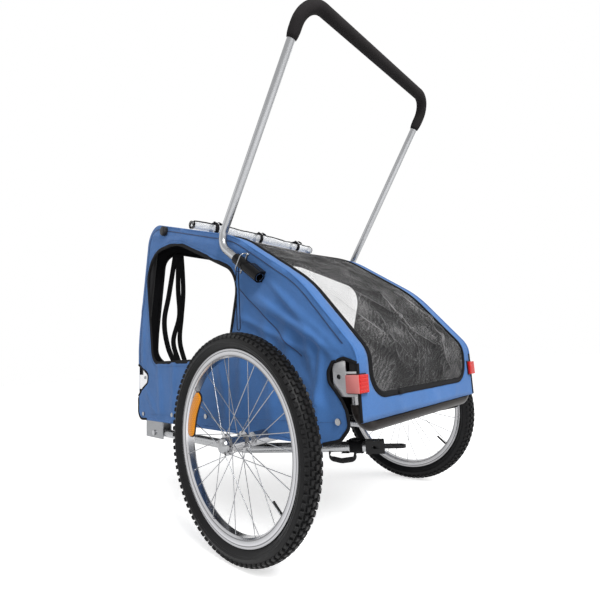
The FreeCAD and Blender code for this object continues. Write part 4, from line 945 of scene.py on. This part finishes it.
seam_pile = Pile()
for _, s in SIDES:
    out = Vector((0, s, 0))
    for seam in (EDGE_SEAM, DIAGONAL_SEAM, HEM_SEAM):
        stitches(seam_pile, on_folds(divided(seam, 0.012), s), out)
    # a low raised fell along the edge seam and the diagonal seam
    for seam in (EDGE_SEAM, DIAGONAL_SEAM):
        seam_pile.add(*tube(on_folds(divided(seam, 0.012), s), 0.0016, False, 6, 0.45, out))
    stitches(seam_pile, on_folds(window_seam, s), out)
seam_pile.make("seam_stitches", THREAD, "chassis")


# Front entry: a black bound edge and the three webbing straps that hang in it
def spline(knots, count):
    # a smooth line through the knots
    pts = [Vector(k) for k in knots]
    last = len(pts) - 1
    made = []
    for k in range(count + 1):
        u = k / count * last
        i = min(last - 1, int(u))
        f = u - i
        p0, p1, p2, p3 = pts[max(i - 1, 0)], pts[i], pts[i + 1], pts[min(i + 2, last)]
        bend = 2 * p0 - 5 * p1 + 4 * p2 - p3
        twist = 3 * p1 - p0 - 3 * p2 + p3
        made.append(0.5 * (2 * p1 + (p2 - p0) * f + bend * f ** 2 + twist * f ** 3))
    return made


STRAP_SAG = 0.012
STRAP_STEPS = 32
STRAPS = (
    ((-0.172, 0.852), (-0.186, 0.70), (-0.196, 0.60), (-0.172, 0.50), (-0.140, 0.436)),
    ((-0.160, 0.852), (-0.150, 0.72), (-0.136, 0.62), (-0.150, 0.52), (-0.120, 0.436)),
    ((-0.146, 0.852), (-0.128, 0.72), (-0.126, 0.62), (-0.122, 0.52), (-0.094, 0.436)),
)
entry_pile = Pile()
ring = [FRONT_PATH.spot(p.y, p.x, -0.0006) for p in divided(entry_loop, 0.008, True)]
entry_pile.add(*tube(ring, 0.0052, True, 10, 0.8))
for knots in STRAPS:
    line = []
    for k, q in enumerate(spline(knots, STRAP_STEPS)):
        inward = STRAP_SAG * math.sin(math.pi * k / STRAP_STEPS) + 0.003
        line.append(FRONT_PATH.spot(height_to_length(FRONT_PATH, q.y), q.x, -inward))
    entry_pile.add(*strap(line, 0.020, 0.0014, Vector((0, 1, 0))))
entry_pile.make("front_entry_straps", TAPE, "chassis")

# Floor mat: a thin sewn pad with a crown and three channels
mat_low, mat_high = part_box("floor_mat")
mat_mid = (mat_low + mat_high) / 2
mat_half = (mat_high - mat_low) / 2
columns, rows = 57, 33
verts = []
for layer in (1, -1):
    for j in range(rows):
        for i in range(columns):
            u = i / (columns - 1) * 2 - 1
            v = j / (rows - 1) * 2 - 1
            edge_share = max(0.0, (1 - abs(u) ** 10) * (1 - abs(v) ** 8)) ** 0.5
            channel = min(abs(u - c) for c in (-0.5, 0.0, 0.5))
            dip = 0.65 + 0.35 * min(1.0, channel / 0.06)
            z = mat_mid.z + layer * mat_half.z * edge_share * (dip if layer > 0 else 0.98)
            pull_in = 1 - 0.006 * (1 - edge_share)
            verts.append((mat_mid.x + u * mat_half.x * pull_in, v * mat_high.y * pull_in, z))
count = columns * rows
faces = loft(rows, columns, False, False)
faces += [tuple(count + k for k in reversed(quad)) for quad in faces]
border = list(range(columns))
border += [j * columns + columns - 1 for j in range(1, rows)]
border += [(rows - 1) * columns + i for i in range(columns - 2, -1, -1)]
border += [j * columns for j in range(rows - 2, 0, -1)]
for a, b in zip(border, border[1:] + border[:1]):
    faces.append((b, a, count + a, count + b))
pad = piece("floor_mat_pad", verts, faces, MAT_CLOTH, "chassis", ["floor_mat"])

# Rolled front cover on the roof: clear sheet wound with a black edging, held by three ties
roll_low, roll_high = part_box("rain_roll")
ROLL = (roll_low + roll_high) / 2
ROLL.y = 0.0
ROLL_R = 0.0215
ROLL_HALF = 0.274
ROOF_TILT = Vector((P_RIDGE[0] - P_CROWN[0], P_RIDGE[1] - P_CROWN[1])).normalized()


def on_roll(u, v, y):
    # a place in the roll's cross section, tilted with the roof
    return Vector((ROLL.x + u * ROOF_TILT.x - v * ROOF_TILT.y, y, ROLL.z + u * ROOF_TILT.y + v * ROOF_TILT.x))


WINDINGS = 3.2
around, lengths = 133, 97
verts = []
for j in range(lengths):
    y = -ROLL_HALF + 2 * ROLL_HALF * j / (lengths - 1)
    squash = 0.82 + 0.10 * noise.noise(Vector((y * 8, 0.3, 0.0))) - 0.12 * abs(y / ROLL_HALF) ** 4
    for i in range(around):
        share = i / (around - 1)
        angle = WINDINGS * 2 * math.pi * share + 0.5 * noise.noise(Vector((y * 6, 5.0, 1.0)))
        cosine, sine = math.cos(angle), math.sin(angle)
        r = 0.0060 + (ROLL_R - 0.0070) * share
        r += 0.0030 * noise.noise(Vector((cosine * 1.6, sine * 1.6 + share * 2, y * 24)))
        r += 0.0012 * noise.noise(Vector((cosine * 4, sine * 4, y * 70)))
        r = min(r, ROLL_R)
        verts.append(on_roll(r * cosine, r * squash * sine - ROLL_R * (1 - squash), y))
roll_pile = Pile()
roll_pile.add(verts, loft(lengths, around, False, False), 0)
# black edging: along the free edge and round both wound ends
roll_pile.add(*tube(verts[around - 1::around], 0.0040, False, 8, 0.45, Vector((0, 0, 1))), 1)
for end in (verts[:around], verts[-around:]):
    roll_pile.add(*tube(end[::2], 0.0013, False, 6), 1)
roll_pile.make("front_cover_roll", [FILM, TAPE], "chassis", ["rain_roll"])

TIE_STEPS = 40
TIE_PITCH = 0.190
tie_pile = Pile()
for n in (-1, 0, 1):
    y = n * TIE_PITCH
    ring = []
    for k in range(TIE_STEPS + 1):
        angle = 2 * math.pi * k / TIE_STEPS
        u = (ROLL_R + 0.0008) * math.cos(angle)
        v = (ROLL_R * 0.87 + 0.0008) * math.sin(angle) - ROLL_R * 0.15
        ring.append(on_roll(u, v, y + 0.0012 * math.sin(angle + n)))
    tie_pile.add(*strap(ring, 0.014, 0.0014, Vector((0, 1, 0))))
    knot = Vector((ROLL.x + 0.008, y, ROLL.z + 0.0125))
    for turn in (-1, 1):
        bends = ((0.0, 0.0, 0.0), (0.006, turn * 0.009, 0.0035), (0.016, turn * 0.017, -0.0060))
        tail = divided([knot + Vector(b) for b in bends], 0.004)
        tie_pile.add(*strap(tail, 0.007, 0.0013, Vector((1, 0, 0))))
    knot_low, knot_high = knot - Vector((0.005, 0.006, 0.003)), knot + Vector((0.005, 0.006, 0.004))
    tie_pile.add(*soft_box(knot_low, knot_high, 0.0020))
tie_pile.make("cover_ties", TAPE, "chassis", ["roll_ties"])

# Foam grip
KNEE_UP = 0.095
LEG_LENGTH = 0.634
GRIP_LEG = 0.095
GRIP_R = 0.0162
GRIP_BEND = 0.062
KNEE = (SLEEVE_TOP[0] - DOWN[0] * KNEE_UP, SLEEVE_TOP[1] - DOWN[1] * KNEE_UP)
LEG_ANGLE = math.radians(53.8)
LEG = (math.cos(LEG_ANGLE), math.sin(LEG_ANGLE))
GRIP_TOP = (KNEE[0] + LEG[0] * LEG_LENGTH, KNEE[1] + LEG[1] * LEG_LENGTH)
GRIP_LOW = (GRIP_TOP[0] - LEG[0] * GRIP_LEG, GRIP_TOP[1] - LEG[1] * GRIP_LEG)
grip_ends = ((-1, GRIP_LOW), (-1, GRIP_TOP), (1, GRIP_TOP), (1, GRIP_LOW))
grip_line = rounded([(x, s * SLEEVE_Y, z) for s, (x, z) in grip_ends], (GRIP_BEND, GRIP_BEND), step=0.005)
grip_line = divided(grip_line, 0.008)
ends = [0.80, 0.93, 0.985]
taper = ends + [1.0] * (len(grip_line) - 6) + ends[::-1]
verts, faces = tube(grip_line, GRIP_R, False, 28, taper=taper)
piece("foam_grip_sleeve", verts, faces, FOAM, "push_handle", ["handle_grip"])

# Bumper sleeve over the rear tube
bumper_low, bumper_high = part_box("bumper_sleeve")
bumper = (bumper_low + bumper_high) / 2
bumper_r = (bumper_high.z - bumper_low.z) / 2
BEND_Y = 0.2631
BEND_TOP = 0.334
BUMPER_BEND = 0.045
bumper_ends = ((-BEND_Y, BEND_TOP), (-BEND_Y, bumper.z), (BEND_Y, bumper.z), (BEND_Y, BEND_TOP))
line = rounded([(bumper.x, y, z) for y, z in bumper_ends], (BUMPER_BEND, BUMPER_BEND), step=0.005)
line = divided(line, 0.010)
taper = [0.955 + 0.008 * noise.noise(Vector((k * 0.7, 2.0, 0.0))) for k in range(len(line) - 2)]
taper = [0.90] + taper + [0.90]
verts, faces = tube(line, bumper_r, False, 28, taper=taper)
piece("bumper_vinyl_sleeve", verts, faces, VINYL, "chassis", ["bumper_sleeve"])

# Tyres: a rounded casing with ribbed walls and five rows of knobs
TRACK = 0.367
CASING_TURNS = 128
CASING = [
    (0.2035, 0.0103), (0.2120, 0.0106), (0.2150, 0.0140), (0.2190, 0.0196), (0.2215, 0.0214),
    (0.2224, 0.0222), (0.2233, 0.0218), (0.2270, 0.0232), (0.2279, 0.0240), (0.2288, 0.0233),
    (0.2330, 0.0230), (0.2370, 0.0212), (0.2405, 0.0178), (0.2430, 0.0132), (0.2446, 0.0080),
    (0.2452, 0.0030),
]
CASING = CASING + [(r, -y) for r, y in reversed(CASING)]
KNOB_ROWS = (
    # offset from the middle, radius at the foot, lean, half length, half width, height, phase
    (0.0, 0.2448, 0.0, 0.0052, 0.0040, 0.0050, 0.0),
    (0.0098, 0.2436, 0.30, 0.0050, 0.0034, 0.0050, 0.5),
    (-0.0098, 0.2436, -0.30, 0.0050, 0.0034, 0.0050, 0.5),
    (0.0186, 0.2388, 0.80, 0.0046, 0.0036, 0.0052, 0.0),
    (-0.0186, 0.2388, -0.80, 0.0046, 0.0036, 0.0052, 0.0),
)
KNOBS = 92
KNOB_FACES = loft(3, 4) + [(8, 9, 10, 11)]
AXIS = Vector((0, 1, 0))
for side, s in SIDES:
    centre = Vector((AXLE[0], s * TRACK, AXLE[1]))
    pile = Pile()
    pile.add(*lathe(CASING, AXLE, centre.y, CASING_TURNS))
    for offset, foot, lean, half_long, half_wide, tall, phase in KNOB_ROWS:
        for k in range(KNOBS):
            angle = 2 * math.pi * (k + phase) / KNOBS
            radial = Vector((math.cos(angle), 0, math.sin(angle)))
            forward = Vector((-math.sin(angle), 0, math.cos(angle)))
            up = (radial * math.cos(lean) + AXIS * math.sin(lean)).normalized()
            wide = up.cross(forward).normalized()
            base = centre + radial * foot + AXIS * offset
            verts = []
            for level, grow in ((-0.0018, 1.12), (tall - 0.0010, 1.0), (tall, 0.80)):
                long_step = forward * (half_long * grow)
                wide_step = wide * (half_wide * grow)
                for u, v in ((-1, -1), (1, -1), (1, 1), (-1, 1)):
                    verts.append(base + up * level + long_step * u + wide_step * v)
            pile.add(verts, KNOB_FACES)
    sharp(pile.make(side + "_knobbed_tyre", RUBBER, side + "_wheel", [side + "_tyre"]), 40.0)

# Snap pins with their wire bails
PIN_AT = Vector((SLEEVE_TOP[0] + DOWN[0] * PIN_DOWN, 0.0, SLEEVE_TOP[1] + DOWN[1] * PIN_DOWN))
UP_PIN = Vector((ACROSS[0], 0.0, ACROSS[1]))
PIN_R = 0.0032
WIRE_R = 0.0015
for side, s in SIDES:
    base = PIN_AT + Vector((0, s * SLEEVE_Y, 0))
    pile = Pile()
    line = [base + UP_PIN * h for h in (-0.026, -0.0245, -0.01, 0.01, 0.0265, 0.028, 0.0305, 0.032)]
    pile.add(*tube(line, PIN_R, False, 16, taper=(0.6, 1.0, 1.0, 1.0, 1.0, 1.62, 1.62, 1.2)))
    # the bail swings from the head round the outside of the sleeve to the pin's lower end
    bail = [(0.0295, 0.0), (0.0295, 0.021), (-0.0225, 0.021), (-0.0225, 0.001)]
    bail = [base + UP_PIN * up + Vector((0, s * out, 0)) for up, out in bail]
    pile.add(*tube(rounded(bail, (0.012, 0.012), step=0.003), WIRE_R, False, 8))
    pile.make(side + "_wire_lock_pin", SPOKE, side + "_pin", [side + "_snap_pin"])

# Tow strap: webbing wound on the arm with a loop that hangs below it
ARM_END = Vector((0.350, -0.082, 0.205))
ARM_WAY = Vector((0.260, 0.176, 0.0)).normalized()
ARM_SIDE = Vector((-ARM_WAY.y, ARM_WAY.x, 0.0))
strap_mid = ARM_END - ARM_WAY * 0.024


def round_arm(along, r, angle):
    # a place at a distance along the arm, at a radius and an angle round it
    spot = strap_mid + ARM_WAY * along + ARM_SIDE * (r * math.cos(angle))
    return spot + Vector((0, 0, r * math.sin(angle)))


TURN_STEP = math.radians(10.0)
BAND_STEPS = 36
WOUND_STEPS = 54
WOUND_START = math.radians(-115.0)
strap_pile = Pile()
for along, r in ((-0.004, 0.0136), (0.004, 0.0139)):
    ring = [round_arm(along, r, TURN_STEP * k) for k in range(BAND_STEPS + 1)]
    strap_pile.add(*strap(ring, 0.024, 0.0014, ARM_WAY))
wound = []
for k in range(WOUND_STEPS + 1):
    share = k / WOUND_STEPS
    wound.append(round_arm(-0.030 + 0.052 * share, 0.0150 + 0.0008 * share, WOUND_START + TURN_STEP * k))
strap_pile.add(*strap(wound, 0.019, 0.0014, ARM_WAY))
SLACK = ((-0.066, -0.0080), (-0.068, -0.0270), (-0.038, -0.0340), (-0.006, -0.0300), (-0.002, -0.0100))
slack = [strap_mid + ARM_WAY * a + Vector((0, 0, v)) for a, v in SLACK]
slack = rounded(slack, (0.012, 0.02, 0.012), step=0.002)
strap_pile.add(*strap(slack, 0.020, 0.0016, ARM_SIDE * 0.62 - Vector((0, 0, 0.78))))
buckle = strap_mid + Vector((0, 0, 0.0165))
buckle_low = buckle - Vector((0.013, 0.011, 0.002))
buckle_high = buckle + Vector((0.013, 0.011, 0.003))
strap_pile.add(*soft_box(buckle_low, buckle_high, 0.0015))
strap_pile.make("tow_webbing", TAPE, "tow_bar", ["tow_strap"])

# Corner reflectors: bevelled lenses that wrap the rear corners
LAMP_LOW = 0.358
LAMP_TOP = 0.394
RIBS = 5
rib_pitch = (LAMP_TOP - LAMP_LOW) / RIBS
LENS_BOXES = [
    # near and far x from the rear, inner and outer y, low and high z, bevel, bevel rows, kind
    (0.002, 0.009, 0.256, 0.289, LAMP_LOW, LAMP_TOP, 0.0016, 2, 0),
    (-0.025, 0.0088, 0.282, 0.2892, LAMP_LOW, LAMP_TOP, 0.0016, 2, 1),
]
for k in range(RIBS):
    z = LAMP_LOW + rib_pitch * (k + 0.5)
    LENS_BOXES.append((0.0085, 0.0097, 0.259, 0.2865, z - 0.0028, z + 0.0028, 0.0005, 1, 0))
for side, s in SIDES:
    pile = Pile()
    for x0, x1, in_y, out_y, z0, z1, bevel, rows, kind in LENS_BOXES:
        y0, y1 = sorted((s * in_y, s * out_y))
        pile.add(*soft_box((REAR + x0, y0, z0), (REAR + x1, y1, z1), bevel, rows), kind)
    sharp(pile.make(side + "_corner_lens", [RED, PINK], "chassis", ["lamp_lenses"]), 35.0)

# Spoke reflectors: a curved amber lens with ribs on a black backing
REFLECTOR_ANGLE = math.radians(158.0)
REFLECTOR_STEPS = 24
LAYERS = (
    # kind, inner and outer radius, back and front depth, half angle
    (0, 0.1405, 0.1750, 0.0002, 0.0030, 21.5),
    (1, 0.1427, 0.1722, 0.0030, 0.0060, 20.5),
)
for side, s in SIDES:
    low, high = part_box(side + "_spoke_reflector")
    pile = Pile()
    inner_y = low.y if s > 0 else high.y
    for kind, r0, r1, back, front_deep, half_angle in LAYERS:
        verts = []
        for k in range(REFLECTOR_STEPS + 1):
            share = k / REFLECTOR_STEPS * 2 - 1
            angle = REFLECTOR_ANGLE + math.radians(half_angle) * share
            half_r = (r1 - r0) / 2 * (0.40 + 0.60 * math.sqrt(1.0 - abs(share) ** 6))
            face = front_deep + 0.0004 * (k % 2) * kind
            section = [(-1, back), (-1, front_deep - 0.001), (-0.85, face), (0, face + 0.0006 * kind)]
            section += [(-u, deep) for u, deep in section[2::-1]]
            for u, deep in section:
                r = (r0 + r1) / 2 + half_r * u
                verts.append(around_y(AXLE, r, angle, inner_y + s * deep))
        rings, sides = REFLECTOR_STEPS + 1, len(section)
        pile.add(verts, loft(rings, sides) + [cap[::-1] for cap in caps(rings, sides)], kind)
    lens_pair = pile.make(side + "_amber_reflector", [PLASTIC, ORANGE], side + "_wheel",
                          [side + "_spoke_reflector"])
    sharp(lens_pair, 50.0)

# Fluted knobs on the ends of the crown bar
KNOB_R = (KNOB_HIGH.z - KNOB_LOW.z) / 2 * 1.2
KNOB_PROFILE = (
    # depth and share of the radius
    (0.0, 0.62), (0.0012, 0.98), (0.0040, 1.0), (0.0118, 1.0), (0.0148, 0.92), (0.0160, 0.70), (0.0160, 0.0),
)
KNOB_SIDES = 48
knob_pile = Pile()
for _, s in SIDES:
    verts = []
    for deep, share in KNOB_PROFILE:
        for k in range(KNOB_SIDES):
            angle = 2 * math.pi * k / KNOB_SIDES
            flute = 0.09 * max(0.0, math.cos(6 * angle)) ** 2 if share > 0.9 else 0.0
            r = KNOB_R * share * (1.0 - flute)
            verts.append(around_y(KNOB_AT, r, angle, s * (SIDE + 0.0004 + deep)))
    knob_pile.add(verts, loft(len(KNOB_PROFILE), KNOB_SIDES))
knob_pile.make("fluted_knobs", KNOB, "chassis", ["bar_knobs"])

# Finishes of the solids that stay
FINISH = {
    "axle_saddles": STEEL, "axle_tube": STEEL, "axles": STEEL, "front_frame": STEEL, "side_rails": STEEL,
    "tow_pin": STEEL, "tongue_pin": STEEL, "rear_frame": TUBE_SILVER, "handle_bar": TUBE_SILVER,
    "tow_arm": TUBE_SILVER, "bracket_bolts": SPOKE, "hem_snaps": SPOKE, "corner_brackets": PRESSED_HIGHLIGHT,
    "tow_bracket": BRACKET, "cross_bars": COATED, "handle_sleeves": GLOSSY, "sleeve_feet": PLASTIC,
    "lamp_backs": PLASTIC, "hitch_block": PLASTIC, "hitch_tongue": PLASTIC, "floor_board": BOARD,
}
SIDE_FINISH = {
    "_spokes": SPOKE, "_bearings": STEEL, "_rim": RIM, "_hub": ALLOY, "_hub_cap": SPOKE,
    "_inner_tube": TUBE_RUBBER, "_hoop": COATED,
}
for side, _ in SIDES:
    FINISH.update({side + name: mat for name, mat in SIDE_FINISH.items()})
for name, mat in FINISH.items():
    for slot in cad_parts[name].material_slots:
        slot.material = mat


# Floor, world and soft studio lamps
def seen_rays(tree):
    # 1 for the rays that the camera sees straight, in a mirror or through glass
    path = node(tree, "ShaderNodeLightPath").outputs
    bent = math_of(tree, "MAXIMUM", path["Is Glossy Ray"], path["Is Transmission Ray"])
    return math_of(tree, "MAXIMUM", path["Is Camera Ray"], bent)


FLOOR = 14.0
FLOOR_GLOW = 0.62
WORLD_LIGHT = 0.45
WORLD_SEEN = 0.55
floor_mesh = bpy.data.meshes.new("floor")
floor_corners = [(x * FLOOR, y * FLOOR, 0) for x, y in ((-1, -1), (1, -1), (1, 1), (-1, 1))]
floor_mesh.from_pydata(floor_corners, [], [(0, 1, 2, 3)])
floor = bpy.data.objects.new("floor", floor_mesh)
scene.collection.objects.link(floor)
floor_mat, tree, shader = new_material("pale_floor", (0.86, 0.86, 0.86), 0.9)
glow = node(tree, "ShaderNodeEmission")
tree.links.new(times(tree, seen_rays(tree), FLOOR_GLOW), glow.inputs["Strength"])
both = node(tree, "ShaderNodeAddShader")
tree.links.new(shader.outputs[0], both.inputs[0])
tree.links.new(glow.outputs[0], both.inputs[1])
tree.links.new(both.outputs[0], tree.nodes["Material Output"].inputs["Surface"])
floor_mesh.materials.append(floor_mat)

world = bpy.data.worlds.new("studio")
world.use_nodes = True
tree = world.node_tree
back = tree.nodes["Background"]
tree.links.new(plus(tree, times(tree, seen_rays(tree), WORLD_SEEN), WORLD_LIGHT), back.inputs["Strength"])
back.inputs["Color"].default_value = (1.0, 1.0, 1.0, 1.0)
scene.world = world


def lamp(name, spot, aim, size, power):
    data = bpy.data.lights.new(name, "AREA")
    data.size = size
    data.energy = power
    obj = bpy.data.objects.new(name, data)
    obj.location = spot
    obj.rotation_mode = "QUATERNION"
    obj.rotation_quaternion = (Vector(aim) - Vector(spot)).to_track_quat("-Z", "Y")
    scene.collection.objects.link(obj)


lamp("key", (2.7, -1.0, 2.6), (0.1, 0.0, 0.5), 1.5, 114.0)
lamp("fill", (-2.2, -2.6, 1.6), (0.0, 0.0, 0.5), 2.2, 12.0)
lamp("back", (0.6, 2.6, 2.4), (0.0, 0.0, 0.6), 2.0, 24.0)
